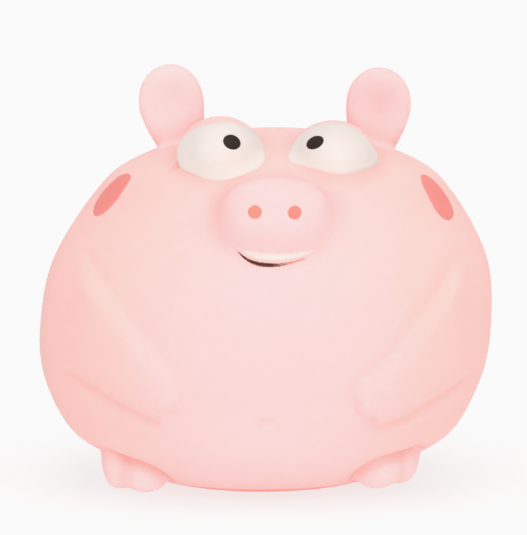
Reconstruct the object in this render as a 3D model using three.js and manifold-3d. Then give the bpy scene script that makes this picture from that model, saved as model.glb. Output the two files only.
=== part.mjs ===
// Squishy pig: a soft rubber squeeze toy with a squeaker in its base.
// Millimetres, +Z up, standing on Z = 0 with its nose towards -Y; left and right are the pig's own.
import * as THREE from 'three';
import { mergeVertices } from 'three/addons/utils/BufferGeometryUtils.js';
import Module from 'manifold-3d';

const wasm = await Module();
wasm.setup();

// The egg-shaped body, which is head and belly in one
const bodyWidth = 120;
const bodyDepth = 110;
const girthHeight = 43;
const crownHeight = 94;
const floorSag = 2;
const profilePower = 2.25;
const wallThickness = 3.5;
const baseThickness = 4;
const waistHeight = 57;

// The soft body has settled towards its left: how far, and between which heights
const settleShift = 3.1;
const settleFrom = 20;
const settleTo = 84;

// Clearances between pieces that touch on the real toy
const seatGap = 0.3;
const paintHeight = 0.8;

// Eye domes on the crown
const eyeSpacing = 28.4;
const eyeForward = 18.5;
const eyeSink = 3.6;
const eyeHalfWidth = 11.7;
const eyeHalfDepth = 15;
const eyeHalfHeight = 12;
const eyeTopHeight = 10.5;

// Snout
const snoutHeight = 77.2;
const snoutReach = 7.5;
const snoutLength = 10;
const snoutHalfWidth = 13.8;
const snoutHalfHeight = 9.2;
const snoutTilt = 20;
const snoutSquareness = 2.6;
const snoutFlatness = 3.2;

// Arms in low relief, each from the shoulder past the elbow to the hand
const shoulderAcross = 53.5;
const shoulderHeight = 52;
const elbowAcross = 41;
const elbowHeight = 38;
const handAcross = 21.5;
const handHeight = 25.8;
const shoulderHalfWidth = 14;
const handHalfWidth = 6.4;
const armRelief = 2.3;
const armDepth = 3;
const shoulderSink = 2;

// Feet with two toes each
const innerToeAcross = 30.3;
const innerToeForward = 16;
const innerToeHalfWidth = 6.4;
const innerToeHalfLength = 8;
const innerToeHeight = 12;
const outerToeAcross = 37.6;
const outerToeForward = 11;
const outerToeHalfWidth = 4.4;
const outerToeHalfLength = 7.5;
const outerToeHeight = 12.5;

// Curly tail on the back
const tailHeight = 42;
const tailCoilRadius = 4.6;
const tailThickness = 4.6;
const tailReach = 5;
const tailTurns = 1.3;

// Ears: paddles with dished fronts, bending at a rounded root
const earSpacing = 51;
const earSetBack = 0;
const earAxisLift = 2;
const earLength = 18;
const earHalfWidth = 8.6;
const earRootHalfWidth = 5.6;
const earWidestAt = 0.46;
const earHalfThickness = 3.6;
const earRootRadius = 2.8;
const earDish = 2.2;
const earSplay = 3;

// Paint
const eyeLidDepth = 5.5;
const pupilInset = 3.4;
const pupilRaise = 5.6;
const pupilRadius = 2.35;
const cheekAcross = bodyWidth * 0.354;
const cheekHeight = 78;
const cheekHalfWidth = 5.6;
const cheekHalfLength = 7.5;
const cheekTilt = 20;
const nostrilSpacing = 9.9;
const nostrilRadius = 1.7;
const nostrilDrop = 0.4;
const mouthHalfWidth = 10;
const mouthCornerHeight = 67.2;
const mouthDrop = 3.8;
const mouthLineDepth = 1;
const mouthCornerDepth = 0.5;
const teethHalfWidth = 8.6;
const teethDepth = 2.1;

// Squeaker in the base
const plugHoleRadius = 9;
const plugRimRadius = 10.5;
const plugRimThickness = 1;
const plugFlangeRadius = 11.5;
const plugFlangeThickness = 1.2;
const cupHeight = 13;
const cupWall = 1.4;
const cupFloor = 1.6;
const ventRadius = 2;
const seatThickness = 2;
const reedSlotLength = 6;
const reedSlotWidth = 3;
const reedLength = 8;
const reedWidth = 4.4;
const reedThickness = 0.3;
const clipWidth = 6.4;
const clipHeight = 1.6;
const clipDepth = 2.6;
const capThickness = 1.4;
const capSpigot = 2;
const capHoleRadius = 0.9;
const capHoleRing = 3.6;
const capHoles = 6;

// Fineness of the meshes
const eggSegments = 52;
const eggRows = 11;
const hollowSegments = 32;
const hollowRows = 7;

const halfWidth = bodyWidth / 2;
const halfDepth = bodyDepth / 2;
const crownRise = crownHeight - girthHeight;
const belowGirth = girthHeight + floorSag;
const farAway = 2 * bodyWidth;
const radians = THREE.MathUtils.degToRad;
const mix = THREE.MathUtils.lerp;
const smoothstep = THREE.MathUtils.smoothstep;
const upAxis = new THREE.Vector3(0, 0, 1);

// Solids

function toSolid(geometry) {
  const bare = geometry.clone();
  bare.deleteAttribute('normal');
  bare.deleteAttribute('uv');
  const joined = mergeVertices(bare, 1e-4);
  const corners = Array.from(joined.index.array);
  const faces = corners.filter((_, i) => {
    const [a, b, c] = corners.slice(i - i % 3, i - i % 3 + 3);
    return a !== b && b !== c && c !== a;
  });
  const mesh = new wasm.Mesh({
    numProp: 3,
    vertProperties: new Float32Array(joined.attributes.position.array),
    triVerts: new Uint32Array(faces),
  });
  return new wasm.Manifold(mesh);
}

function toGeometry(solid) {
  const mesh = solid.getMesh();
  const geometry = new THREE.BufferGeometry();
  geometry.setAttribute('position', new THREE.BufferAttribute(new Float32Array(mesh.vertProperties), 3));
  geometry.setIndex(new THREE.BufferAttribute(new Uint32Array(mesh.triVerts), 1));
  geometry.computeVertexNormals();
  return geometry;
}

function union(solids) {
  return solids.reduce((sum, solid) => sum.add(solid));
}

// The largest body of a cut, without the slivers that a cut can leave beside it
function mainBody(solid) {
  return solid.decompose().sort((a, b) => b.volume() - a.volume())[0];
}

function boxSolid(width, depth, height, x, y, z) {
  return toSolid(new THREE.BoxGeometry(width, depth, height).translate(x, y, z));
}

function spaceBelow(z) {
  return boxSolid(2 * farAway, 2 * farAway, farAway, 0, 0, z - farAway / 2);
}

function spaceBefore(y) {
  return boxSolid(2 * farAway, farAway, 2 * farAway, 0, y - farAway / 2, 0);
}

// A solid turned about Z from [radius, height] corners, listed up the outside
function turned(corners, segments, isRing = false) {
  const profile = corners.map(([radius, height]) => new THREE.Vector2(radius, height));
  if (isRing) {
    profile.push(profile[0].clone());
  }
  return new THREE.LatheGeometry(profile, segments).rotateX(Math.PI / 2);
}

function rod(radius, bottom, top, segments = 36) {
  return toSolid(turned([[0, bottom], [radius, bottom], [radius, top], [0, top]], segments));
}

// A closed skin over rings of equal count, each end closed on a point
function loft(rings, firstEnd, lastEnd) {
  const sides = rings[0].length;
  const corners = [...rings.flat(), firstEnd, lastEnd].flatMap((p) => [p.x, p.y, p.z]);
  const first = rings.length * sides;
  const lastRing = first - sides;
  const faces = [];
  for (let j = 0; j < sides; j += 1) {
    const next = (j + 1) % sides;
    faces.push(first, next, j, first + 1, lastRing + j, lastRing + next);
    for (let i = 0; i < lastRing; i += sides) {
      faces.push(i + j, i + next, i + sides + next, i + j, i + sides + next, i + sides + j);
    }
  }
  const geometry = new THREE.BufferGeometry();
  geometry.setAttribute('position', new THREE.Float32BufferAttribute(corners, 3));
  geometry.setIndex(faces);
  return geometry;
}

// A round limb along a curve, with rounded ends
function limb(curve, steps, sides, startRadius, endRadius) {
  const length = curve.getLength();
  const frames = curve.computeFrenetFrames(steps, false);
  const rounding = (toEnd, radius) => Math.sqrt(1 - Math.max(1 - toEnd / radius, 0) ** 2);
  const rings = Array.from({ length: steps - 1 }, (_, i) => {
    const share = (i + 1) / steps;
    const ends = rounding(share * length, startRadius) * rounding((1 - share) * length, endRadius);
    const radius = mix(startRadius, endRadius, share) * ends;
    return Array.from({ length: sides }, (__, j) => {
      const angle = 2 * Math.PI * j / sides;
      const corner = curve.getPointAt(share);
      corner.addScaledVector(frames.normals[i + 1], radius * Math.cos(angle));
      return corner.addScaledVector(frames.binormals[i + 1], radius * Math.sin(angle));
    });
  });
  return toSolid(loft(rings, curve.getPointAt(0), curve.getPointAt(1)));
}

function ellipsoid(center, halfX, halfY, halfZ, columns = 28, rows = 18) {
  const ball = new THREE.SphereGeometry(1, columns, rows).rotateX(Math.PI / 2).scale(halfX, halfY, halfZ);
  return toSolid(ball.translate(center.x, center.y, center.z));
}

// Body: an egg turned about Z and flattened front to back

function eggSolid(grow, segments, rows) {
  const corners = Array.from({ length: 2 * rows + 1 }, (_, i) => {
    const angle = (Math.PI / 2) * (i / rows - 1);
    const rise = Math.sign(angle) * Math.abs(Math.sin(angle)) ** (2 / profilePower);
    const girth = Math.max(Math.cos(angle), 0) ** (2 / profilePower);
    const halfHeight = (angle > 0 ? crownRise : belowGirth) + grow;
    const isPole = i === 0 || i === 2 * rows;
    return [isPole ? 0 : girth * (halfWidth + grow), girthHeight + rise * halfHeight];
  });
  return toSolid(turned(corners, segments).scale(1, (halfDepth + grow) / (halfWidth + grow), 1));
}

function ringShareAt(z) {
  const rise = z - girthHeight;
  const share = Math.abs(rise) / (rise > 0 ? crownRise : belowGirth);
  return Math.max(1 - share ** profilePower, 0) ** (1 / profilePower);
}

// The point of the egg in front of, or above, a place
function frontOfBody(x, z) {
  const depth = Math.sqrt(Math.max(ringShareAt(z) ** 2 - (x / halfWidth) ** 2, 0));
  return new THREE.Vector3(x, -halfDepth * depth, z);
}

function crownOfBody(x, y) {
  const girth = Math.hypot(x / halfWidth, y / halfDepth);
  const rise = Math.max(1 - girth ** profilePower, 0) ** (1 / profilePower);
  return new THREE.Vector3(x, y, girthHeight + crownRise * rise);
}

function bodyNormal(point) {
  const rise = point.z - girthHeight;
  const halfHeight = rise > 0 ? crownRise : belowGirth;
  const girth = Math.hypot(point.x / halfWidth, point.y / halfDepth);
  const sideways = girth ** (profilePower - 2);
  const upward = Math.sign(rise) * Math.abs(rise / halfHeight) ** (profilePower - 1) / halfHeight;
  const normal = new THREE.Vector3(point.x / halfWidth ** 2, point.y / halfDepth ** 2, 0);
  return normal.multiplyScalar(sideways).setZ(upward).normalize();
}

function sunk(point, depth) {
  return point.clone().addScaledVector(bodyNormal(point), -depth);
}

// Eye domes, sunk into the crown

function eyeCenter(side) {
  const crown = crownOfBody(side * eyeSpacing / 2, -eyeForward);
  return crown.setZ(crown.z - eyeSink);
}

// A dome is flatter above its middle than below
function eyeDome(side, grow) {
  const middle = eyeCenter(side);
  const ball = new THREE.SphereGeometry(1, 30, 20).rotateX(Math.PI / 2);
  const position = ball.attributes.position;
  for (let i = 0; i < position.count; i += 1) {
    const halfHeight = (position.getZ(i) > 0 ? eyeTopHeight : eyeHalfHeight) + grow;
    position.setZ(i, position.getZ(i) * halfHeight);
  }
  return toSolid(ball.scale(eyeHalfWidth + grow, eyeHalfDepth + grow, 1).translate(middle.x, middle.y, middle.z));
}

// Snout: a short bar of rounded oblong section with a nearly flat front

const snoutAxis = new THREE.Vector3(0, -Math.cos(radians(snoutTilt)), Math.sin(radians(snoutTilt)));
const snoutFront = frontOfBody(0, snoutHeight).add(new THREE.Vector3(0, -snoutReach, 0));

function snoutBar(grow) {
  const ball = new THREE.SphereGeometry(1, 30, 20).rotateX(Math.PI / 2);
  const position = ball.attributes.position;
  const power = (value, exponent) => Math.abs(value) ** exponent;
  for (let i = 0; i < position.count; i += 1) {
    const corner = new THREE.Vector3().fromBufferAttribute(position, i);
    const ring = power(corner.x, snoutSquareness) + power(corner.z, snoutSquareness);
    const level = power(ring, snoutFlatness / snoutSquareness) + power(corner.y, snoutFlatness);
    corner.divideScalar(power(level, 1 / snoutFlatness));
    position.setXYZ(i, corner.x, corner.y, corner.z);
  }
  const center = snoutFront.clone().addScaledVector(snoutAxis, -snoutLength);
  ball.scale(snoutHalfWidth + grow, snoutLength + grow, snoutHalfHeight + grow);
  return toSolid(ball.rotateX(-radians(snoutTilt)).translate(center.x, center.y, center.z));
}

// Arms, feet and tail, moulded with the lower skin

// A flattened limb laid along the front of the egg, which it comes out of at the shoulder
function arm(side) {
  const path = new THREE.QuadraticBezierCurve(
    new THREE.Vector2(side * shoulderAcross, shoulderHeight),
    new THREE.Vector2(side * elbowAcross, elbowHeight),
    new THREE.Vector2(side * handAcross, handHeight),
  );
  const spot = (share) => {
    const place = path.getPoint(share);
    return frontOfBody(place.x, place.y);
  };
  const length = spot(0).distanceTo(spot(1));
  const rings = [0.03, 0.08, 0.16, 0.26, 0.37, 0.48, 0.59, 0.7, 0.8, 0.88, 0.94, 0.975, 0.994].map((share) => {
    const normal = bodyNormal(spot(share));
    const along = spot(share + 0.01).sub(spot(share - 0.01));
    const across = new THREE.Vector3().crossVectors(normal, along).normalize();
    const toTip = (1 - share) * length / handHalfWidth;
    const toShoulder = share * length / shoulderHalfWidth;
    const rounding = Math.sqrt(1 - Math.max(1 - toTip, 0) ** 2) * Math.sqrt(1 - Math.max(1 - toShoulder, 0) ** 2);
    const halfAcross = mix(shoulderHalfWidth, handHalfWidth, share) * rounding;
    const halfThick = (armDepth + mix(-shoulderSink, armRelief, smoothstep(share, 0, 0.4))) * rounding;
    return Array.from({ length: 20 }, (_, j) => {
      const angle = 2 * Math.PI * j / 20;
      const corner = sunk(spot(share), armDepth).addScaledVector(across, halfAcross * Math.cos(angle));
      return corner.addScaledVector(normal, halfThick * Math.sin(angle));
    });
  });
  return toSolid(loft(rings, sunk(spot(0), armDepth), sunk(spot(1), armDepth)));
}

function toe(side, across, forward, halfAcross, halfLength, height) {
  const center = new THREE.Vector3(side * across, -forward, height * 0.45);
  return ellipsoid(center, halfAcross, halfLength, height * 0.55, 20, 14);
}

function foot(side) {
  const inner = [innerToeAcross, innerToeForward, innerToeHalfWidth, innerToeHalfLength, innerToeHeight];
  const outer = [outerToeAcross, outerToeForward, outerToeHalfWidth, outerToeHalfLength, outerToeHeight];
  return toe(side, ...inner).add(toe(side, ...outer));
}

// A tapering coil that starts inside the wall
function tail() {
  const back = halfDepth * ringShareAt(tailHeight);
  const thickRadius = tailThickness / 2;
  const thinRadius = thickRadius * 0.65;
  const spots = Array.from({ length: 25 }, (_, i) => {
    const share = i / 24;
    const turn = 2 * Math.PI * tailTurns * share - Math.PI / 2;
    const radius = tailCoilRadius * (1 - 0.25 * share);
    const out = mix(back - wallThickness / 2, back + tailReach - thickRadius, Math.min(1.6 * share, 1));
    return new THREE.Vector3(radius * Math.cos(turn), out, tailHeight + radius * Math.sin(turn));
  });
  return limb(new THREE.CatmullRomCurve3(spots), 36, 10, thickRadius, thinRadius);
}

// Ears, each standing on the crown with its bending axis along the slope of the head

function earSeat(side) {
  const here = crownOfBody(side * earSpacing / 2, earSetBack);
  const normal = bodyNormal(here);
  const slope = Math.atan2(Math.abs(normal.x), normal.z);
  const axisPoint = here.clone();
  axisPoint.x += side * Math.sin(slope) * earAxisLift;
  axisPoint.z += Math.cos(slope) * earAxisLift;
  return { axisPoint, slope };
}

function placedEar(side, geometry) {
  const { axisPoint, slope } = earSeat(side);
  return toSolid(geometry.rotateY(side * slope).translate(axisPoint.x, axisPoint.y, axisPoint.z));
}

function earHalfWidthAt(share) {
  if (share < earWidestAt) {
    const down = 1 - share / earWidestAt;
    return earHalfWidth - (earHalfWidth - earRootHalfWidth) * down ** 1.6;
  }
  const up = (share - earWidestAt) / (1 - earWidestAt);
  return earHalfWidth * Math.sqrt(1 - up ** 2.2);
}

function earHalfThicknessAt(share) {
  const middle = mix(earRootRadius, earHalfThickness, smoothstep(share, 0, 0.4));
  const up = Math.max(share - 0.6, 0) / 0.4;
  return middle * Math.sqrt(1 - up ** 2.4);
}

// An ear about its own bending axis, which lies along X; below the axis it is half a round bar, and
// above it the paddle turns upright from the slope of the head
function ear(side) {
  const upright = earSeat(side).slope - radians(earSplay);
  const lean = Math.tan(upright);
  const middleOf = (share) => new THREE.Vector3(-side * lean * earLength * share, 0, earLength * share);
  const ring = (middle, halfAcross, halfThick, dish, turn = 0) => Array.from({ length: 20 }, (_, j) => {
    const angle = 2 * Math.PI * j / 20;
    const hollow = dish * Math.max(-Math.sin(angle), 0) ** 3;
    const across = halfAcross * Math.cos(angle);
    const corner = new THREE.Vector3(across * Math.cos(turn), halfThick * Math.sin(angle) + hollow, 0);
    return corner.setZ(side * across * Math.sin(turn)).add(middle);
  });
  const rootRings = [-75, -50, -25].map((turn) => {
    const middle = new THREE.Vector3(0, 0, earRootRadius * Math.sin(radians(turn)));
    return ring(middle, earRootHalfWidth, earRootRadius * Math.cos(radians(turn)), 0);
  });
  const bladeRings = [0, 0.1, 0.2, 0.3, 0.42, 0.54, 0.66, 0.76, 0.85, 0.92, 0.97, 0.99].map((share) => {
    const dish = earDish * smoothstep(share, 0.05, 0.4) * (1 - smoothstep(share, 0.6, 0.98));
    const turn = upright * smoothstep(share, 0, 0.5);
    return ring(middleOf(share), earHalfWidthAt(share), earHalfThicknessAt(share), dish, turn);
  });
  const foot = new THREE.Vector3(0, 0, -earRootRadius);
  return placedEar(side, loft([...rootRings, ...bladeRings], foot, middleOf(1)));
}

// The trough in the skin that the round root of an ear turns in
function earTrough(side) {
  const length = 2 * (earRootHalfWidth + seatGap);
  const radius = earRootRadius + seatGap;
  return placedEar(side, new THREE.CylinderGeometry(radius, radius, length, 32).rotateZ(Math.PI / 2));
}

// Paint: a film over one form of the skin, inside an outline drawn on a plane that faces it

const clearSkin = union([
  eggSolid(seatGap, eggSegments, eggRows),
  snoutBar(seatGap),
  eyeDome(1, seatGap),
  eyeDome(-1, seatGap),
]);

function film(form, outline) {
  return mainBody(form(paintHeight).intersect(outline).subtract(clearSkin));
}

// A prism through an outline, along the direction in which the outline faces
function prism(outline, center, facing) {
  const across = new THREE.Vector3().crossVectors(upAxis, facing).normalize();
  const upright = new THREE.Vector3().crossVectors(facing, across);
  const depth = wallThickness + snoutReach;
  const bar = new THREE.ExtrudeGeometry(new THREE.Shape(outline), { depth: 2 * depth, bevelEnabled: false });
  bar.translate(0, 0, -depth).applyMatrix4(new THREE.Matrix4().makeBasis(across, upright, facing));
  return toSolid(bar.translate(center.x, center.y, center.z));
}

function oval(halfAcross, halfUp, tilt = 0, count = 28) {
  return Array.from({ length: count }, (_, i) => {
    const angle = 2 * Math.PI * i / count;
    const spot = new THREE.Vector2(halfAcross * Math.cos(angle), halfUp * Math.sin(angle));
    return spot.rotateAround(new THREE.Vector2(), tilt);
  });
}

function pupilPrism(side, radius) {
  const center = eyeCenter(side);
  const acrossShare = pupilInset / eyeHalfWidth;
  const upShare = pupilRaise / eyeTopHeight;
  const outShare = Math.sqrt(1 - acrossShare ** 2 - upShare ** 2);
  const across = -side * acrossShare;
  const facing = new THREE.Vector3(across / eyeHalfWidth, -outShare / eyeHalfDepth, upShare / eyeTopHeight);
  center.x += across * eyeHalfWidth;
  center.y -= outShare * eyeHalfDepth;
  center.z += pupilRaise;
  return prism(oval(radius, radius), center, facing.normalize());
}

// The front of a dome, up to an upright plane that leaves a pink lid behind it
function eyeWhite(side) {
  const front = spaceBefore(eyeCenter(side).y - eyeLidDepth);
  return film((grow) => eyeDome(side, grow), front.subtract(pupilPrism(side, pupilRadius + seatGap)));
}

function pupil(side) {
  return film((grow) => eyeDome(side, grow), pupilPrism(side, pupilRadius));
}

function eggFilm(outline, center, facing) {
  return film((grow) => eggSolid(grow, eggSegments, eggRows), prism(outline, center, facing));
}

function cheek(side) {
  const center = frontOfBody(side * cheekAcross, cheekHeight);
  return eggFilm(oval(cheekHalfWidth, cheekHalfLength, -side * radians(cheekTilt)), center, bodyNormal(center));
}

function nostril(side) {
  const center = snoutFront.clone().add(new THREE.Vector3(side * nostrilSpacing / 2, 0, -nostrilDrop));
  return film(snoutBar, prism(oval(nostrilRadius, nostrilRadius), center, snoutAxis));
}

// The mouth: a row of teeth over a dark line, both sagging between the mouth corners

const lipDrop = mouthDrop - mouthLineDepth;

function sagging(reach, drop, raise) {
  return Array.from({ length: 17 }, (_, i) => {
    const across = reach * (i / 8 - 1);
    return new THREE.Vector2(across, raise - drop * (1 - (across / mouthHalfWidth) ** 2));
  });
}

function mouthFilm(lower, upper) {
  const center = frontOfBody(0, mouthCornerHeight);
  return eggFilm([...lower, ...upper.reverse()], center, new THREE.Vector3(0, -1, 0));
}

function teeth() {
  return mouthFilm(sagging(teethHalfWidth, lipDrop, seatGap), sagging(teethHalfWidth, lipDrop - teethDepth, 0));
}

function mouthLine() {
  return mouthFilm(sagging(mouthHalfWidth, mouthDrop, -mouthCornerDepth), sagging(mouthHalfWidth, lipDrop, 0));
}

// Squeaker, from the outside rim up to the perforated cap

const rimTop = seatGap + plugRimThickness;
const flangeBottom = baseThickness + seatGap;
const flangeTop = flangeBottom + plugFlangeThickness;
const cupRadius = plugHoleRadius - seatGap;
const cupBore = cupRadius - cupWall;
const cupFloorTop = seatGap + cupFloor;
const seatBottom = cupFloorTop + seatGap;
const seatTop = seatBottom + seatThickness;
const reedBottom = seatTop + seatGap;
const reedHinge = -reedLength / 2;
const capBottom = cupHeight + seatGap;
const capTop = capBottom + capThickness;

// The stepped hole in the base that the groove of the cup snaps into
function plugHole() {
  const recess = rod(plugRimRadius + seatGap, -1, rimTop + seatGap, 48);
  return recess.add(rod(plugHoleRadius, -1, baseThickness + 1, 48));
}

function squeakerCup() {
  return toSolid(turned([
    [ventRadius, seatGap],
    [plugRimRadius, seatGap],
    [plugRimRadius, rimTop],
    [cupRadius, rimTop],
    [cupRadius, flangeBottom],
    [plugFlangeRadius, flangeBottom],
    [plugFlangeRadius, flangeTop],
    [cupRadius, flangeTop],
    [cupRadius, cupHeight],
    [cupBore, cupHeight],
    [cupBore, cupFloorTop],
    [ventRadius, cupFloorTop],
  ], 36, true));
}

function reedSeat() {
  const slot = boxSolid(reedSlotLength, reedSlotWidth, 4 * seatThickness, 0, 0, seatBottom);
  return rod(cupBore - seatGap, seatBottom, seatTop).subtract(slot);
}

function reedTongue() {
  return boxSolid(reedLength, reedWidth, reedThickness, 0, 0, reedBottom + reedThickness / 2);
}

function reedClip() {
  const middle = reedHinge - seatGap - clipDepth / 2;
  const bar = boxSolid(clipDepth, clipWidth, clipHeight, middle, 0, reedBottom + clipHeight / 2);
  return bar.intersect(rod(cupBore - seatGap, reedBottom, reedBottom + clipHeight));
}

function squeakerCap() {
  const spigotRadius = cupBore - seatGap;
  const spigot = rod(spigotRadius, capBottom - capSpigot, capTop);
  const well = rod(spigotRadius - cupWall, 0, capBottom);
  const holes = Array.from({ length: capHoles }, (_, i) => {
    const angle = 2 * Math.PI * i / capHoles;
    const hole = rod(capHoleRadius, 0, capTop + 1, 12);
    return hole.translate([capHoleRing * Math.cos(angle), capHoleRing * Math.sin(angle), 0]);
  });
  return rod(cupRadius, capBottom, capTop).add(spigot).subtract(well).subtract(union(holes));
}

// The space that the filling leaves round the squeaker
function squeakerRoom() {
  const low = rod(plugFlangeRadius + seatGap, 0, flangeTop + seatGap);
  return low.add(rod(cupRadius + seatGap, 0, capTop + seatGap));
}

// The hollow of the skin, and a size smaller the filling in it

function hollow(clearance) {
  const egg = eggSolid(-wallThickness - clearance, hollowSegments, hollowRows);
  return egg.subtract(spaceBelow(baseThickness + clearance));
}

// Assembly

const materials = {
  skin: new THREE.MeshStandardMaterial({ color: 0xf7cfc9, roughness: 0.7 }),
  cream: new THREE.MeshStandardMaterial({ color: 0xf4ebe1, roughness: 0.6 }),
  dark: new THREE.MeshStandardMaterial({ color: 0x3a302b, roughness: 0.5 }),
  coral: new THREE.MeshStandardMaterial({ color: 0xf09a8f, roughness: 0.7 }),
  filling: new THREE.MeshStandardMaterial({ color: 0xf2efe8, roughness: 0.95 }),
  squeaker: new THREE.MeshStandardMaterial({ color: 0xf0eee8, roughness: 0.4 }),
  reed: new THREE.MeshStandardMaterial({ color: 0xd9d4c4, roughness: 0.35 }),
};

const pig = new THREE.Group();
pig.name = 'squishy_pig';

// Each piece is set over with the settled body
function addPiece(name, solid, material) {
  const settled = solid.warp((corner) => {
    corner[0] += settleShift * smoothstep(corner[2], settleFrom, settleTo);
  });
  const mesh = new THREE.Mesh(toGeometry(settled), material);
  mesh.name = name;
  pig.add(mesh);
}

const egg = eggSolid(0, eggSegments, eggRows);
const head = union([egg, snoutBar(0), eyeDome(1, 0), eyeDome(-1, 0)]);
const seat = union([egg, arm(1), arm(-1), foot(1), foot(-1), tail()]);
const upperCuts = union([hollow(0), spaceBelow(waistHeight), earTrough(1), earTrough(-1)]);
const lowerCuts = union([hollow(0), spaceBelow(0), plugHole()]);

addPiece('upper_skin', head.subtract(upperCuts), materials.skin);
addPiece('lower_skin', seat.intersect(spaceBelow(waistHeight - seatGap)).subtract(lowerCuts), materials.skin);
addPiece('filling', hollow(seatGap).subtract(squeakerRoom()), materials.filling);

for (const [side, name] of [[1, 'left'], [-1, 'right']]) {
  addPiece(`ear_${name}`, ear(side), materials.skin);
  addPiece(`eye_white_${name}`, eyeWhite(side), materials.cream);
  addPiece(`pupil_${name}`, pupil(side), materials.dark);
  addPiece(`cheek_${name}`, cheek(side), materials.coral);
  addPiece(`nostril_${name}`, nostril(side), materials.coral);
}

addPiece('teeth', teeth(), materials.cream);
addPiece('mouth_line', mouthLine(), materials.dark);

addPiece('squeaker_cup', squeakerCup(), materials.squeaker);
addPiece('reed_seat', reedSeat(), materials.squeaker);
addPiece('reed_clip', reedClip(), materials.squeaker);
addPiece('reed_tongue', reedTongue(), materials.reed);
addPiece('squeaker_cap', squeakerCap(), materials.squeaker);

// The middle of the whole toy stands over the origin
const middle = new THREE.Box3().setFromObject(pig).getCenter(new THREE.Vector3());
pig.position.set(-middle.x, -middle.y, 0);

export default pig;
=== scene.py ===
from math import cos, pi, radians, sin

import bmesh
import bpy
import numpy as np
from mathutils import Matrix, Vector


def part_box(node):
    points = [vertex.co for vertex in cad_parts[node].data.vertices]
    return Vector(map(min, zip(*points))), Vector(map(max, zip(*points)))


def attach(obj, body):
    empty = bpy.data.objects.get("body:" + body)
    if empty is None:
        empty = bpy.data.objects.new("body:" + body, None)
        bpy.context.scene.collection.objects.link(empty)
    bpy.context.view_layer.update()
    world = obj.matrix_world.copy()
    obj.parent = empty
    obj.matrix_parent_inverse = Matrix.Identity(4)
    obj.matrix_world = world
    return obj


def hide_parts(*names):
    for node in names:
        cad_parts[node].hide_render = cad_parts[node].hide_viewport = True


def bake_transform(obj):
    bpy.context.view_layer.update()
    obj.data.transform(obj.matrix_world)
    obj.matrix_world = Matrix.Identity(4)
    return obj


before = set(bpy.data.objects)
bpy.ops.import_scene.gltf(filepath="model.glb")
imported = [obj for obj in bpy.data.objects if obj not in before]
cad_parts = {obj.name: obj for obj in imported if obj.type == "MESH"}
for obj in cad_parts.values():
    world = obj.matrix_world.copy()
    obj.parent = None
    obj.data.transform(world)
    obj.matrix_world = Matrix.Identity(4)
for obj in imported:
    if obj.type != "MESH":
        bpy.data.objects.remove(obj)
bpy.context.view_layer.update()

# Sizes in mm, as in the part's source. Points are worked out about the egg's own upright axis, nose
# towards -Y, and go into the frame, in metres, by into_frame. Left and right are the pig's own.

MM_PER_METRE = 1000
HALF_WIDTH, HALF_DEPTH = 60.0, 55.0
GIRTH_HEIGHT, CROWN_RISE, BELOW_GIRTH = 43.0, 51.0, 45.0
EGG_POWER = 2.25
WALL, BASE, HOLLOW_FILLET = 3.5, 4.0, 1.2
SKIN_STEP, HOLLOW_STEP, FILLING_STEP = 0.8, 2.4, 2.4

# The soft body has settled to its left: how far, between which heights
SETTLE_SHIFT, SETTLE_FROM, SETTLE_TO = 3.1, 20.0, 84.0

# The egg's axis passes through the middle of the squeaker
CUP_LOW, CUP_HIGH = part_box("squeaker_cup")
AXIS_X, AXIS_Y = ((low + high) * MM_PER_METRE / 2 for low, high in zip(CUP_LOW[:2], CUP_HIGH[:2]))

# Camera: the frame's size in pixels, and where the pig's middle sits in it
FRAME_WIDTH, FRAME_HEIGHT = 527, 535
VIEW_TURN, VIEW_TILT = radians(1.0), radians(7.0)
VIEW_DISTANCE, MM_PER_PIXEL = 1000.0, 0.2655
MIDDLE, MIDDLE_PIXEL = np.array([AXIS_X, AXIS_Y + 2.5, 47.0]), (262.2, 304.4)
SENSOR, FARTHEST = 36.0, 50
# A line of sight is followed from in front of the pig, by a little less than its distance at each step
SIGHT_START, SIGHT_STEPS, SIGHT_CAUTION = VIEW_DISTANCE - 100, 70, 0.8


def unit(vectors):
    return vectors / np.linalg.norm(vectors, axis=-1, keepdims=True)


def ease(low, high, values):
    share = np.clip((values - low) / (high - low), 0, 1)
    return share * share * (3 - 2 * share)


def fall_off(distance, width):
    """1 at no distance, and softly less with more of it."""
    return np.exp(-((distance / width) ** 2))


def shift_at(z):
    return AXIS_X + SETTLE_SHIFT * ease(SETTLE_FROM, SETTLE_TO, z)


def into_frame(points):
    x, y, z = points.T
    return np.stack([x + shift_at(z), y + AXIS_Y, z], 1) / MM_PER_METRE


def from_frame(points):
    x, y, z = points.T
    return np.stack([x - shift_at(z), y - AXIS_Y, z], 1)


# Camera

forward = np.array([sin(VIEW_TURN) * cos(VIEW_TILT), cos(VIEW_TURN) * cos(VIEW_TILT), -sin(VIEW_TILT)])
right = np.array([cos(VIEW_TURN), -sin(VIEW_TURN), 0.0])
up = np.cross(right, forward)
aim = MIDDLE - right * (MIDDLE_PIXEL[0] - FRAME_WIDTH / 2) * MM_PER_PIXEL
aim = aim + up * (MIDDLE_PIXEL[1] - FRAME_HEIGHT / 2) * MM_PER_PIXEL
lens_place = aim - forward * VIEW_DISTANCE

lens = bpy.data.cameras.new("camera")
lens.sensor_fit = "VERTICAL"
lens.sensor_height = SENSOR
lens.lens = SENSOR * VIEW_DISTANCE / (FRAME_HEIGHT * MM_PER_PIXEL)
lens.clip_end = FARTHEST
camera = bpy.data.objects.new("camera", lens)
bpy.context.scene.collection.objects.link(camera)
turned = np.eye(4)
turned[:3, :3] = np.stack([right, up, -forward], 1)
turned[:3, 3] = lens_place / MM_PER_METRE
camera.matrix_world = Matrix(turned.tolist())
bpy.context.scene.camera = camera


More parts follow.
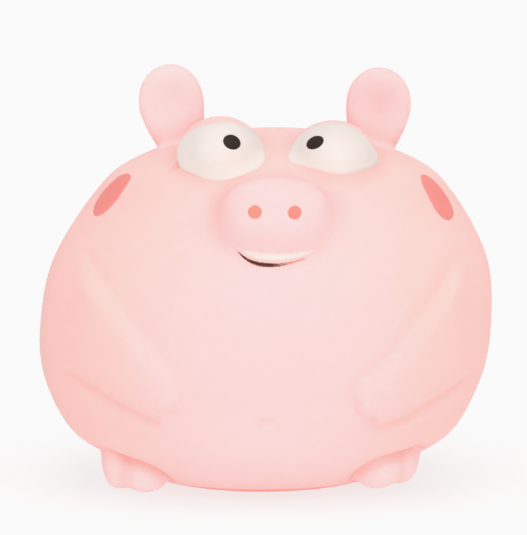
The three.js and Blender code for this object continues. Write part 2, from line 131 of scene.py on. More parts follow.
def seen_at(pixels, field):
    """The points of a form that pixels of the frame show."""
    offsets = (np.array(pixels, float) - [FRAME_WIDTH / 2, FRAME_HEIGHT / 2]) * MM_PER_PIXEL
    sight = unit(forward * VIEW_DISTANCE + offsets[:, :1] * right - offsets[:, 1:] * up)
    reach = np.full(len(sight), SIGHT_START)
    for _ in range(SIGHT_STEPS):
        reach += SIGHT_CAUTION * field(from_frame(lens_place + sight * reach[:, None]))
    return from_frame(lens_place + sight * reach[:, None])


# Forms, each given as the distance in mm from points to its surface, positive outside

def soft_union(first, second, reach):
    near = np.maximum(reach - np.abs(first - second), 0) / reach
    return np.minimum(first, second) - near * near * reach / 4


def soft_cut(first, second, reach):
    return -soft_union(-first, -second, reach)


def egg(points, grow=0.0):
    x, y, z = points.T
    wide, deep = HALF_WIDTH + grow, HALF_DEPTH + grow
    high = np.where(z > GIRTH_HEIGHT, CROWN_RISE, BELOW_GIRTH) + grow
    girth = np.hypot(x / wide, y / deep) + 1e-6
    rise = np.abs(z - GIRTH_HEIGHT) / high
    level_of = (girth**EGG_POWER + rise**EGG_POWER) ** (1 / EGG_POWER)
    sideways = girth ** (EGG_POWER - 2) * np.hypot(x / wide**2, y / deep**2)
    slope = level_of ** (1 - EGG_POWER) * np.hypot(sideways, rise ** (EGG_POWER - 1) / high)
    return (level_of - 1) / slope


def crown_height(x, y):
    girth = np.hypot(x / HALF_WIDTH, y / HALF_DEPTH)
    return GIRTH_HEIGHT + CROWN_RISE * (1 - girth**EGG_POWER) ** (1 / EGG_POWER)


class Ball:
    """An ellipsoid, with its own half height above its middle where one is given."""

    def __init__(self, center, halves, top=None):
        self.center, self.halves = np.array(center, float), np.array(halves, float)
        self.top = self.halves[2] if top is None else top
        self.low, self.high = self.center - self.halves, self.center + self.halves

    def __call__(self, points):
        away = points - self.center
        halves = np.tile(self.halves, (len(points), 1))
        halves[:, 2] = np.where(away[:, 2] > 0, self.top, self.halves[2])
        inner = np.linalg.norm(away / halves, axis=1) + 1e-6
        return inner * (inner - 1) / (np.linalg.norm(away / halves**2, axis=1) + 1e-9)


FOOT_EDGE = 1.5


def on_foot(to_foot):
    """From 0 to 1, whether points are on a foot, by their distance from it."""
    return 1 - ease(0.0, FOOT_EDGE, to_foot)


class Foot:
    """Two toes that run softly into each other, in a socket of the belly."""

    TOE_FILLET, CLEFT_WIDTH = 3.2, 1.6
    # The socket's width and depth, and where it runs out on the outer side and below
    GAP, DEPTH, OUTER_FROM, OUTER_TO, LOWER_FROM, LOWER_TO = 1.1, 1.4, 37.0, 42.0, 10.0, 4.0

    def __init__(self, toes):
        self.toes = []
        for across, ahead, wide, long, low, top in toes:
            self.toes.append(Ball((across, -ahead, (low + top) / 2), (wide, long, (top - low) / 2)))
        self.low = np.min([toe.low for toe in self.toes], 0)
        self.high = np.max([toe.high for toe in self.toes], 0)

    def __call__(self, points):
        return soft_union(self.toes[0](points), self.toes[1](points), self.TOE_FILLET)

    def cleft(self, points):
        """How near points of the foot are to the line between the toes, from 0 to 1."""
        first, second = (toe(points) for toe in self.toes)
        return fall_off(first - second, self.CLEFT_WIDTH) * on_foot(self(points))

    def socket(self, points):
        """A groove in the belly round the foot, which runs out on the outer side and below."""
        gap = self.GAP * ease(self.OUTER_TO, self.OUTER_FROM, np.abs(points[:, 0]))
        gap = gap * ease(self.LOWER_TO, self.LOWER_FROM, points[:, 2])
        return np.maximum(self(points) - gap, -egg(points) - self.DEPTH)


class Snout:
    """A short bar of rounded oblong section with a nearly flat front."""

    TILT, LENGTH, HALF_WIDTH, HALF_HEIGHT = radians(20), 10.0, 13.9, 9.6
    SQUARENESS, FLATNESS = 2.45, 3.0
    ROOM = np.array([16.0, 15.0, 14.0])

    def __init__(self, front):
        self.axis = np.array([0, -cos(self.TILT), sin(self.TILT)])
        self.upright = np.array([0, sin(self.TILT), cos(self.TILT)])
        self.center = np.array(front) - self.LENGTH * self.axis
        self.low, self.high = self.center - self.ROOM, self.center + self.ROOM

    def __call__(self, points):
        away = points - self.center
        a = np.abs(away[:, 0]) / self.HALF_WIDTH + 1e-6
        b = np.abs(away @ self.upright) / self.HALF_HEIGHT + 1e-6
        c = np.abs(away @ self.axis) / self.LENGTH + 1e-6
        ring = (a**self.SQUARENESS + b**self.SQUARENESS) ** (1 / self.SQUARENESS)
        level_of = (ring**self.FLATNESS + c**self.FLATNESS) ** (1 / self.FLATNESS)
        side = (ring / level_of) ** (self.FLATNESS - 1)
        over_a = side * (a / ring) ** (self.SQUARENESS - 1) / self.HALF_WIDTH
        over_b = side * (b / ring) ** (self.SQUARENESS - 1) / self.HALF_HEIGHT
        over_c = (c / level_of) ** (self.FLATNESS - 1) / self.LENGTH
        return (level_of - 1) / np.sqrt(over_a**2 + over_b**2 + over_c**2)


class Tail:
    """A tapering coil that starts inside the wall."""

    HEIGHT, COIL, THICK, REACH, TURNS = 42.0, 4.6, 2.3, 5.0, 1.3
    SPOTS, OUT_RATE, COIL_TAPER, THICK_TAPER, ROOM = 61, 1.6, 0.25, 0.35, 3.0

    def __init__(self):
        share = np.linspace(0, 1, self.SPOTS)
        turn = 2 * pi * self.TURNS * share - pi / 2
        radius = self.COIL * (1 - self.COIL_TAPER * share)
        out = (WALL / 2 + self.REACH - self.THICK) * np.minimum(self.OUT_RATE * share, 1)
        out = HALF_DEPTH - WALL / 2 + out
        self.spots = np.stack([radius * np.cos(turn), out, self.HEIGHT + radius * np.sin(turn)], 1)
        self.radii = self.THICK * (1 - self.THICK_TAPER * share)
        self.low, self.high = self.spots.min(0) - self.ROOM, self.spots.max(0) + self.ROOM

    def __call__(self, points):
        nearest = np.full(len(points), 1e3)
        for spot, following, radius in zip(self.spots, self.spots[1:], self.radii):
            along = following - spot
            share = np.clip((points - spot) @ along / (along @ along), 0, 1)
            away = np.linalg.norm(points - spot - share[:, None] * along, axis=1)
            nearest = np.minimum(nearest, away - radius)
        return nearest


# Drawn outlines, in pixels of the frame

CURVE_STEPS, LINE_STEPS, LINE_ROUNDS = 24, 120, 12
LONG_LINE, MIDDLE_LINE, SHORT_LINE = 40, 24, 16


def closed_curve(pixels, count):
    """A smooth closed line through drawn points, evenly spaced."""
    p = np.array(pixels, float)
    before, after, next_after = np.roll(p, 1, 0), np.roll(p, -1, 0), np.roll(p, -2, 0)
    t = np.linspace(0, 1, CURVE_STEPS, endpoint=False)[:, None, None]
    line = 0.5 * (2 * p + (after - before) * t + (2 * before - 5 * p + 4 * after - next_after) * t**2
                  + (3 * p - before - 3 * after + next_after) * t**3)
    return evenly(line.transpose(1, 0, 2).reshape(-1, 2), count, True)


def evenly(line, count, is_closed=False):
    line = np.vstack([line, line[:1]]) if is_closed else np.array(line, float)
    reach = np.concatenate([[0], np.cumsum(np.linalg.norm(np.diff(line, axis=0), axis=1))])
    stops = np.linspace(0, reach[-1], count, endpoint=not is_closed)
    return np.stack([np.interp(stops, reach, line[:, i]) for i in range(line.shape[1])], 1)


def open_curve(pixels, count):
    """A smooth line near drawn points, from the first to the last, evenly spaced."""
    p = np.array(pixels, float)
    share, stops = np.linspace(0, 1, len(p)), np.linspace(0, 1, LINE_STEPS)
    line = np.stack([np.interp(stops, share, p[:, i]) for i in range(2)], 1)
    for _ in range(LINE_ROUNDS):
        line[1:-1] = (line[:-2] + 2 * line[1:-1] + line[2:]) / 4
    return evenly(line, count)


ARM_UPPER = {
    "right": [(72, 237), (87, 258), (101, 278), (114, 294), (126, 311), (139, 329), (152, 345),
              (165, 361), (178, 376), (186, 390)],
    "left": [(471, 238), (455, 262), (439, 287), (422, 311), (403, 335), (388, 353), (371, 370),
             (357, 380), (349, 390), (347, 397)],
}
ARM_LOWER = {
    "right": [(52, 363), (70, 374), (84, 382), (96, 390), (110, 399), (125, 407), (137, 413),
              (148, 419), (158, 422)],
    "left": [(481, 367), (462, 382), (443, 395), (425, 406), (409, 415), (394, 422), (383, 425),
             (375, 426), (369, 423)],
}
HAND_END = {
    "right": [(186, 390), (186, 399), (181, 408), (174, 415), (166, 421), (158, 422)],
    "left": [(347, 397), (348, 404), (352, 411), (357, 417), (363, 421), (369, 423)],
}
FINGER_CLEFT = {"right": [(157, 411), (165, 412), (175, 412)],
                "left": [(374, 419), (366, 417), (357, 413)]}
SHOULDER_LINE = {"right": [(89, 251), (97, 263), (106, 276)],
                 "left": [(455, 251), (447, 263), (437, 276)]}
SMILE = [(238, 252), (246, 258), (255, 263), (268, 265), (282, 264), (296, 261), (308, 257), (318, 251)]
BELLY_BUTTON = [(259, 424), (262, 420.5), (268, 419), (274, 420.5), (278, 424)]


def over_plane(pixels, count):
    """A drawn line laid on the egg, as across and height."""
    return seen_at(open_curve(pixels, count), egg)[:, [0, 2]]


def line_distance(spots, line):
    nearest = np.full(len(spots), 1e3)
    for start, end in zip(line, line[1:]):
        along = end - start
        share = np.clip((spots - start) @ along / (along @ along + 1e-9), 0, 1)
        nearest = np.minimum(nearest, np.linalg.norm(spots - start - share[:, None] * along, axis=1))
    return nearest


def within(spots, loop):
    inside = np.zeros(len(spots), bool)
    for (ax, ay), (bx, by) in zip(loop, np.roll(loop, -1, 0)):
        crosses = (ay > spots[:, 1]) != (by > spots[:, 1])
        inside ^= crosses & (spots[:, 0] < (bx - ax) * (spots[:, 1] - ay) / (by - ay + 1e-12) + ax)
    return inside


def groove(spots, line, width, depth):
    return -depth * fall_off(line_distance(spots, line), width)


class Relief:
    """How far the front stands out from the egg: arms, hands, the smile's groove and the belly button."""

    HALF_ACROSS, TOP, STEP, SOFTENING = 64.0, 76.0, 0.4, 4
    # How far in from its upper edge, its lower edge and its end the arm gets to its full height, from
    # where that height falls again and how fast, and the run-out at the shoulder and the flank
    ARM_RISE, UPPER_RUN, LOWER_RUN, END_RUN = 2.6, 4.8, 4.0, 3.6
    FULL_TO, FALL, SHOULDER_RUN, FLANK_RUN = 5.0, 14.0, 5.0, 8.0
    # Grooves: width and depth
    SMILE_GROOVE, BUTTON_GROOVE, FINGER_GROOVE = (1.1, 0.55), (0.9, 0.4), (0.9, 0.5)
    ABOVE_ARM, BELOW_ARM, BELOW_FROM, BELOW_TO = (2.4, 0.1), (1.2, 0.75), 1.0, 10.0
    FRONT_FROM, FRONT_TO = 4.0, -8.0

    def __init__(self):
        self.low = np.array([-self.HALF_ACROSS, 0.0])
        across = np.arange(-self.HALF_ACROSS, self.HALF_ACROSS + self.STEP / 4, self.STEP)
        heights = np.arange(0, self.TOP, self.STEP)
        spots = np.stack(np.meshgrid(across, heights, indexing="ij"), -1).reshape(-1, 2)
        rise = sum(self.arm(spots, side) for side in ("left", "right"))
        rise = rise + groove(spots, over_plane(SMILE, LONG_LINE), *self.SMILE_GROOVE)
        rise = rise + groove(spots, over_plane(BELLY_BUTTON, SHORT_LINE), *self.BUTTON_GROOVE)
        self.rise = rise.reshape(len(across), len(heights))
        for _ in range(self.SOFTENING):
            for axis in (0, 1):
                self.rise = (np.roll(self.rise, 1, axis) + 2 * self.rise + np.roll(self.rise, -1, axis)) / 4

    def arm(self, spots, side):
        upper, lower = (over_plane(line[side], LONG_LINE) for line in (ARM_UPPER, ARM_LOWER))
        end = over_plane(HAND_END[side], SHORT_LINE)
        inside = within(spots, np.vstack([upper, end, lower[::-1]]))
        to_edges = [line_distance(spots, line) for line in (upper, lower, end)]
        outside = -np.min(to_edges, 0)
        in_from_upper, in_from_lower, in_from_end = (np.where(inside, away, outside) for away in to_edges)
        brow = np.clip(in_from_upper / self.UPPER_RUN, 0, 1)
        brow = brow * fall_off(np.maximum(in_from_upper - self.FULL_TO, 0), self.FALL)
        crease = 1 - (1 - np.clip(in_from_lower / self.LOWER_RUN, 0, 1)) ** 2
        tip = ease(0.0, self.END_RUN, in_from_end)
        from_shoulder = ease(0, self.SHOULDER_RUN, np.linalg.norm(spots - upper[0], axis=1))
        from_flank = ease(0, self.FLANK_RUN, line_distance(spots, np.stack([upper[0], lower[0]])))
        from_elbow = ease(self.BELOW_FROM, self.BELOW_TO, np.linalg.norm(spots - lower[0], axis=1))
        rise = self.ARM_RISE * brow * crease * tip * from_shoulder * from_flank
        cleft = groove(spots, over_plane(FINGER_CLEFT[side], SHORT_LINE), *self.FINGER_GROOVE)
        above = groove(spots, upper, *self.ABOVE_ARM) * from_shoulder
        below = groove(spots, lower, *self.BELOW_ARM) * from_elbow
        return rise + cleft + above + below

    def __call__(self, points):
        place = (points[:, [0, 2]] - self.low) / self.STEP
        place = np.clip(place, 0, np.array(self.rise.shape) - 1.001)
        i, j = place.astype(int).T
        s, t = (place - place.astype(int)).T
        low = self.rise[i, j] * (1 - s) + self.rise[i + 1, j] * s
        high = self.rise[i, j + 1] * (1 - s) + self.rise[i + 1, j + 1] * s
        return (low * (1 - t) + high * t) * ease(self.FRONT_FROM, self.FRONT_TO, points[:, 1])


# Where the sides stand out from the plain egg, or in from it: rise, height and spread
SIDES = [(0.85, 14.0, 7.0), (-1.25, 7.5, 4.0), (-0.45, 48.0, 13.0), (-0.8, 69.0, 9.0), (0.8, 84.0, 5.0)]
SIDES_FROM, SIDES_TO = 20.0, 45.0
EYE_FORWARD, EYE_SINK, EYE_HALVES = 18.5, 3.6, (11.7, 15.0, 12.0)
EYE_ACROSS, EYE_TOP = {"left": 14.9, "right": -14.2}, {"left": 10.6, "right": 11.6}
SNOUT_ACROSS, SNOUT_HEIGHT, SNOUT_REACH = -0.5, 78.3, 7.4
# Two toes to a foot: across, forward, half across, half length, and the heights of underside and top
FEET = [[(29.2, 21.8, 7.2, 9, 1.9, 17.3), (36.2, 18.2, 4.6, 8.5, 2.7, 19.4)],
        [(-30.8, 18.0, 6.4, 9, 0.0, 14.0), (-37.9, 15.6, 4.5, 8, 0.7, 18.4)]]
SNOUT_FILLET, EYE_FILLET, FOOT_FILLET, TAIL_FILLET, SOCKET_FILLET = 4.5, 3.0, 1.7, 1.6, 2.4
FORM_MARGIN, SOCKET_MARGIN = 3.0, 6.0
# The flat base has a sharp edge at the squeaker's hole and a round one at its border
HOLE_ROUNDING, BORDER_ROUNDING, ROUNDING_FROM, ROUNDING_TO = 0.3, 2.4, 14.0, 20.0

front_relief = Relief()
ring_share = (1 - ((SNOUT_HEIGHT - GIRTH_HEIGHT) / CROWN_RISE) ** EGG_POWER) ** (1 / EGG_POWER)
snout = Snout((SNOUT_ACROSS, -HALF_DEPTH * ring_share - SNOUT_REACH, SNOUT_HEIGHT))
eyes = []
for name, across in EYE_ACROSS.items():
    height = crown_height(across, -EYE_FORWARD) - EYE_SINK
    eyes.append(Ball((across, -EYE_FORWARD, height), EYE_HALVES, EYE_TOP[name]))
feet = [Foot(toes) for toes in FEET]
forms = [(snout, SNOUT_FILLET), *((eye, EYE_FILLET) for eye in eyes)]
forms += [*((foot, FOOT_FILLET) for foot in feet), (Tail(), TAIL_FILLET)]
dents = []


def fullness(points):
    """How far ankles, shoulders and temples stand out."""
    sides = sum(rise * fall_off(points[:, 2] - height, spread) for rise, height, spread in SIDES)
    return sides * ease(SIDES_FROM, SIDES_TO, np.abs(points[:, 0]))


def body(points):
    """The egg with its relief, without the forms that are set on it."""
    return egg(points) - front_relief(points) - fullness(points)


def near_form(points, form, margin):
    return np.all((points > form.low - margin) & (points < form.high + margin), axis=1)


def skin(points):
    distance = body(points)
    for foot in feet:
        near = near_form(points, foot, SOCKET_MARGIN)
        distance[near] = soft_cut(distance[near], -foot.socket(points[near]), SOCKET_FILLET)
    for form, fillet in forms:
        near = near_form(points, form, fillet + FORM_MARGIN)
        distance[near] = soft_union(distance[near], form(points[near]), fillet)
    for dent, fillet in dents:
        near = near_form(points, dent, FORM_MARGIN)
        distance[near] = soft_cut(distance[near], -dent(points[near]), fillet)
    from_axis = np.hypot(points[:, 0], points[:, 1])
    rounding = HOLE_ROUNDING + BORDER_ROUNDING * ease(ROUNDING_FROM, ROUNDING_TO, from_axis)
    return soft_cut(distance, -points[:, 2], rounding)


def facing(points, field, span=0.04):
    """The outward direction of a form at points near it, with the slope of its distance."""
    slopes = []
    for axis in np.eye(3) * span:
        slopes.append((field(points + axis) - field(points - axis)) / (2 * span))
    return np.stack(slopes, 1)


def settle(points, field, rounds=3):
    """Brings points near a form on to it."""
    for _ in range(rounds):
        slope = facing(points, field)
        points = points - field(points)[:, None] * slope / (slope**2).sum(1, keepdims=True)
    return points


def hollow(points, clearance=0.0):
    return soft_cut(egg(points, -WALL - clearance), BASE + clearance - points[:, 2], HOLLOW_FILLET)


# Meshes

NET_BATCHES = 12


def net_over(field, low, high, step):
    """Points and four-sided faces of a form inside a box, by one point in each cell that it crosses."""
    axes = [np.arange(a, b + step, step) for a, b in zip(low, high)]
    nodes = np.stack(np.meshgrid(*axes, indexing="ij"), -1).reshape(-1, 3)
    shape = tuple(len(axis) for axis in axes)
    distance = np.concatenate([field(part) for part in np.array_split(nodes, NET_BATCHES)]).reshape(shape)
    inside = distance < 0
    cells = tuple(n - 1 for n in shape)
    corners = [(a, b, c) for a in (0, 1) for b in (0, 1) for c in (0, 1)]
    filled = sum(inside[a:a + cells[0], b:b + cells[1], c:c + cells[2]].astype(int) for a, b, c in corners)
    crossed = (filled > 0) & (filled < len(corners))
    index = np.full(cells, -1)
    index[crossed] = np.arange(crossed.sum())
    cell = np.stack(np.nonzero(crossed), 1)
    total, hits = np.zeros((len(cell), 3)), np.zeros(len(cell))
    for axis in range(3):
        for corner in corners:
            if corner[axis]:
                continue
            start = cell + corner
            end = start + np.eye(3, dtype=int)[axis]
            here, there = distance[tuple(start.T)], distance[tuple(end.T)]
            cuts = (here < 0) != (there < 0)
            share = np.where(cuts, here / np.where(cuts, here - there, 1), 0)
            total += cuts[:, None] * (start + share[:, None] * np.eye(3)[axis])
            hits += cuts
    points = np.array([axis[0] for axis in axes]) + step * total / hits[:, None]
    faces = []
    for axis in range(3):
        first, second = (np.eye(3, dtype=int)[(axis + i) % 3] for i in (1, 2))
        node = np.stack(np.nonzero(inside != np.roll(inside, -1, axis)), 1)
        around = [node, node - first, node - first - second, node - second]
        quad = np.stack([index[tuple(c.T)] for c in around], 1)
        faces.append(np.where(inside[tuple(node.T)][:, None], quad, quad[:, ::-1]))
    return points, np.concatenate(faces)


def relaxed(points, faces, field, rounds=2):
    """Evens out a net, with each point kept on the form."""
    edges = np.concatenate([faces[:, [i, (i + 1) % 4]] for i in range(4)])
    for _ in range(rounds):
        total, count = np.zeros_like(points), np.zeros(len(points))
        for start, end in ((0, 1), (1, 0)):
            np.add.at(total, edges[:, start], points[edges[:, end]])
            np.add.at(count, edges[:, start], 1)
        points = settle((points + total / count[:, None]) / 2, field, 2)
    return points


def strip_faces(rows, columns, is_closed=True):
    """Faces between rows of points that follow each other."""
    faces = []
    for a in range(0, (rows - 1) * columns, columns):
        b = a + columns
        for j in range(columns if is_closed else columns - 1):
            k = (j + 1) % columns
            faces.append((a + j, b + j, b + k, a + k))
    return faces


def add_piece(name, points, faces, **shares):
    """A smooth piece from points about the egg's axis, with named values at its points."""
    mesh = bpy.data.meshes.new(name)
    mesh.from_pydata(into_frame(np.array(points, float)).tolist(), [], [list(face) for face in faces])
    mesh.polygons.foreach_set("use_smooth", np.ones(len(mesh.polygons), bool))
    for label, values in shares.items():
        layer = mesh.attributes.new(label, "FLOAT", "POINT")
        layer.data.foreach_set("value", np.array(values, np.float32))
    mesh.update()
    piece = bpy.data.objects.new(name, mesh)
    bpy.context.scene.collection.objects.link(piece)
    return piece


# Finishes

# Skin pinks: pale for the belly's middle; rose for the flanks as painted shade, and the pink that paint fades
# to at its rims; light pink is painted light; the deepest pink is painted shade in creases and underneath
LIGHT_PINK, PALE_PINK = (0.87, 0.55, 0.542, 1), (0.85, 0.492, 0.487, 1)
ROSE_PINK, SHADE_PINK = (0.85, 0.482, 0.452, 1), (0.83, 0.26, 0.21, 1)
# The third cream is painted light, for eye paint where it turns away from the lamps
CREAM, WARM_CREAM, LIT_CREAM = (0.626, 0.57, 0.538, 1), (0.618, 0.55, 0.515, 1), (0.755, 0.682, 0.635, 1)
# The tooth rim pink is deepened as painted shade under the snout; the teeth paint fades to it at its top and
# right end
TOOTH_CREAM, TOOTH_SHADE, TOOTH_RIM = (0.65, 0.595, 0.56, 1), (0.64, 0.575, 0.54, 1), (0.84, 0.44, 0.41, 1)
CORAL, LIGHT_CORAL = (0.72, 0.22, 0.195, 1), (0.73, 0.24, 0.215, 1)
NOSTRIL_CORAL, NOSTRIL_LIGHT = (0.65, 0.203, 0.158, 1), (0.66, 0.22, 0.174, 1)
MOUTH_BROWN, MOUTH_PINK, MOUTH_RIM = (0.055, 0.016, 0.009, 1), (0.62, 0.265, 0.23, 1), (0.74, 0.34, 0.29, 1)
PUPIL_BLACK, PUPIL_BROWN = (0.016, 0.009, 0.005, 1), (0.028, 0.018, 0.012, 1)
FIBRE_SHADE, FIBRE_WHITE = (0.74, 0.72, 0.68, 1), (0.86, 0.85, 0.82, 1)
IVORY, LIGHT_IVORY = (0.78, 0.75, 0.68, 1), (0.82, 0.80, 0.74, 1)
AMBER, LIGHT_AMBER = (0.62, 0.56, 0.42, 1), (0.70, 0.65, 0.52, 1)
TABLE_GREY, LIGHT_TABLE_GREY, WHITE = (0.195, 0.195, 0.195, 1), (0.205, 0.205, 0.205, 1), (1, 1, 1, 1)

SOFT_RUBBER = {"Specular IOR Level": 0.06, "Subsurface Weight": 0.5, "Subsurface Radius": (1.0, 0.42, 0.34),
               "Subsurface Scale": 0.001}
MATT_PAINT = {"Specular IOR Level": 0.15, "Subsurface Weight": 0.25, "Subsurface Radius": (1.0, 0.6, 0.5),
              "Subsurface Scale": 0.0012}
PUPIL_PAINT = {"Specular IOR Level": 0.12}
MOULDED = {"Specular IOR Level": 0.45, "Subsurface Weight": 0.1, "Subsurface Scale": 0.001}
FIBRE = {"Specular IOR Level": 0.1, "Sheen Weight": 0.4, "Roughness": 0.95}
LIGHT_TABLE = {"Roughness": 0.9, "Specular IOR Level": 0.0, "Emission Strength": 0.722, "Emission Color": WHITE}

# Depths of grain, in metres
FINE_GRAIN, RUBBER_GRAIN, FIBRE_GRAIN = 0.00003, 0.00006, 0.0012


class Value:
    """An output socket that can be written into sums."""

    def __init__(self, finish, socket):
        self.finish, self.socket = finish, socket

    def maths(self, operation, first, second):
        return self.finish.node("ShaderNodeMath", {"operation": operation}, {0: first, 1: second})

    def __add__(self, other):
        return self.maths("ADD", self, other)

    def __sub__(self, other):
        return self.maths("SUBTRACT", self, other)

    def __rsub__(self, other):
        return self.maths("SUBTRACT", other, self)

    def __mul__(self, other):
        return self.maths("MULTIPLY", self, other)

    __radd__, __rmul__ = __add__, __mul__


class Finish:
    """A material whose surface is one Principled shader. Scales of noise are per metre."""

    def __init__(self, name, constants):
        self.material = bpy.data.materials.new(name)
        self.material.use_nodes = True
        self.tree = self.material.node_tree
        self.shader = self.tree.nodes["Principled BSDF"]
        for socket, value in constants.items():
            self.shader.inputs[socket].default_value = value

    def feed(self, socket, value):
        if isinstance(value, Value):
            self.tree.links.new(value.socket, socket)
        else:
            socket.default_value = value

    def node(self, kind, settings, sockets, output=0):
        made = self.tree.nodes.new(kind)
        for setting, value in settings.items():
            setattr(made, setting, value)
        for socket, value in sockets.items():
            self.feed(made.inputs[socket], value)
        return Value(self, made.outputs[output])

    def noise(self, scale, detail=2.0):
        place = self.node("ShaderNodeTexCoord", {}, {}, "Object")
        return self.node("ShaderNodeTexNoise", {}, {"Vector": place, "Scale": scale, "Detail": detail})

    def uneven(self, scale, detail=2.0):
        """Noise about 0."""
        return self.noise(scale, detail) - 0.5

    def share(self, label):
        return self.node("ShaderNodeAttribute", {"attribute_name": label}, {}, "Fac")

    def between(self, value, low, high):
        settings = {"interpolation_type": "SMOOTHSTEP"}
        return self.node("ShaderNodeMapRange", settings, {"Value": value, "From Min": low, "From Max": high})

    def mix(self, share, first, second):
        return self.node("ShaderNodeMix", {"data_type": "RGBA"}, {0: share, 6: first, 7: second}, 2)

    def color(self, value):
        self.feed(self.shader.inputs["Base Color"], value)

    def roughness(self, value):
        self.feed(self.shader.inputs["Roughness"], value)

    def bump(self, height, distance):
        bumped = self.node("ShaderNodeBump", {}, {"Height": height, "Distance": distance, "Strength": 1.0})
        self.feed(self.shader.inputs["Normal"], bumped)

    def grained(self, roughness, spread, patches, grain, detail=2.0):
        """Roughness that varies in patches, and a fine grain."""
        self.roughness(roughness + spread * self.noise(patches, detail))
        self.bump(self.noise(grain, detail), FINE_GRAIN)

    def give(self, *pieces):
        for piece in pieces:
            piece.data.materials.clear()
            piece.data.materials.append(self.material)


def rubber_finish():
    """Pale pink, faintly clouded; painted shade on flanks and in creases, painted light on ears and feet."""
    finish = Finish("soft_pink_rubber", SOFT_RUBBER)
    clouds = 0.5 * finish.uneven(38, 3) + 0.4 * finish.uneven(240)
    plain = finish.mix(finish.between(finish.share("flank_shade") + clouds, 0.1, 0.9), PALE_PINK, ROSE_PINK)
    lighter = finish.mix(finish.share("light"), plain, LIGHT_PINK)
    finish.color(finish.mix(finish.share("crease"), lighter, SHADE_PINK))
    finish.roughness(0.58 + 0.16 * finish.noise(160))
    finish.bump(finish.noise(900, 3) + finish.noise(140), RUBBER_GRAIN)
    return finish


def paint_finish(name, first, second, fade_from=0.72, thick=None, rim=ROSE_PINK):
    """Sprayed paint that thins to pink at its rim, lighter as painted light where it turns from the lamps."""
    finish = Finish(name, MATT_PAINT)
    color = finish.mix(finish.between(finish.noise(120, 3), 0.35, 0.7), first, second)
    # A third colour, where given, is painted light where the surface turns away from the lamps
    if thick:
        color = finish.mix(finish.share("turned"), color, thick)
    ragged = finish.share("rim") + 0.4 * finish.uneven(700)
    finish.color(finish.mix(finish.between(ragged, fade_from, 1.1), color, rim))
    finish.grained(roughness=0.5, spread=0.2, patches=300, grain=1500)
    return finish


def mouth_finish():
    """A dark line at one end that thins to pink at the other."""
    finish = Finish("brown_mouth_paint", MATT_PAINT)
    ragged = finish.share("along") + 0.5 * finish.uneven(2200, 3)
    line = finish.mix(finish.between(ragged, 0.54, 0.8), MOUTH_BROWN, MOUTH_PINK)
    edge = finish.share("rim") + 1.8 * finish.uneven(2600, 3)
    finish.color(finish.mix(finish.between(edge, 0.5, 1.0), line, MOUTH_RIM))
    finish.grained(roughness=0.45, spread=0.2, patches=400, grain=1500)
    return finish


def pupil_finish():
    finish = Finish("dark_pupil_paint", PUPIL_PAINT)
    finish.color(finish.mix(finish.noise(500), PUPIL_BLACK, PUPIL_BROWN))
    finish.grained(roughness=0.42, spread=0.15, patches=300, grain=1200)
    return finish


def moulded_finish(name, first, second, shine):
    finish = Finish(name, MOULDED)
    finish.color(finish.mix(finish.noise(90, 3), first, second))
    finish.grained(roughness=shine, spread=0.15, patches=260, grain=1400, detail=3)
    return finish


def fibre_finish():
    finish = Finish("white_fibre", FIBRE)
    strands = finish.noise(420, 6)
    finish.color(finish.mix(strands, FIBRE_SHADE, FIBRE_WHITE))
    finish.bump(strands + finish.noise(90, 4), FIBRE_GRAIN)
    return finish


rubber = rubber_finish()

# Skin: one moulding, hollow, with the stepped hole for the squeaker in its flat base

DIMPLE_PIXEL, DIMPLE_RADIUS, DIMPLE_LIFT, DIMPLE_FILLET = (175.8, 164.8), 1.2, 0.3, 0.9
HOLLOW_PIXELS = [(170.5, 150), (387, 153)]
dimple = seen_at([DIMPLE_PIXEL], skin)
dimple = (dimple + DIMPLE_LIFT * unit(facing(dimple, skin)))[0]
dents.append((Ball(dimple, [DIMPLE_RADIUS] * 3), DIMPLE_FILLET))
eye_hollows = seen_at(HOLLOW_PIXELS, skin)

LOW, HIGH = np.array([-63.0, -68.0, -2.4]), np.array([63.0, 63.0, 101.0])
HOLE_RING = [(11.1, 0.0), (10.8, 0.3), (10.8, 1.35), (10.55, 1.6), (9.25, 1.6), (9.0, 1.85), (9.0, 3.75),
             (9.3, 4.0)]
HOLE_SIDES, CUT_RADIUS, LEVEL, RIM_LEVEL = 64, 13.5, 0.02, 0.05

# Painted shade: deeper pink in creases, by balls on the skin that would meet it: radius and tint
CREASE_SHADE_BALLS = ((1.0, 0.3), (3.0, 0.32), (6.5, 0.2))
# Painted shade: deeper pink underneath, between two heights: a contact shadow on the belly, fainter above that,
# and on the soles
CONTACT_TINT, CONTACT_HEIGHTS = 0.9, (3.2, 2.0)
LOW_TINT, LOW_HEIGHTS = 0.14, (7.5, 2.4)
SOLE_TINT, SOLE_HEIGHTS = 0.3, (2.2, 0.4)
# Painted shade: deeper pink on the belly beside the feet, where they meet it and between the toes, and less
# crease shade on the feet
BESIDE_TINT, BESIDE_WIDTH = 0.14, 4.0
SEAM_TINT, SEAM_WIDTH, SEAM_HEIGHTS = 0.2, 2.0, (3.0, 6.0)
TOE_TINT, FOOT_PALENESS = 0.17, 0.6
# Painted shade: deeper pink in the dimple, in the hollows between eyes and ears, and beside the snout on its
# side away from the lamps
DIMPLE_TINT, DIMPLE_SPREAD = 0.5, 1.0
HOLLOW_TINT, HOLLOW_SPREAD = 0.13, 6.5
SNOUT_TINT, SNOUT_AWAY, SNOUT_SPREAD, SNOUT_ACROSS_RUN, SNOUT_TINT_TOP = 0.1, 0.8, 2.2, (-8.0, -15.0), 88.0
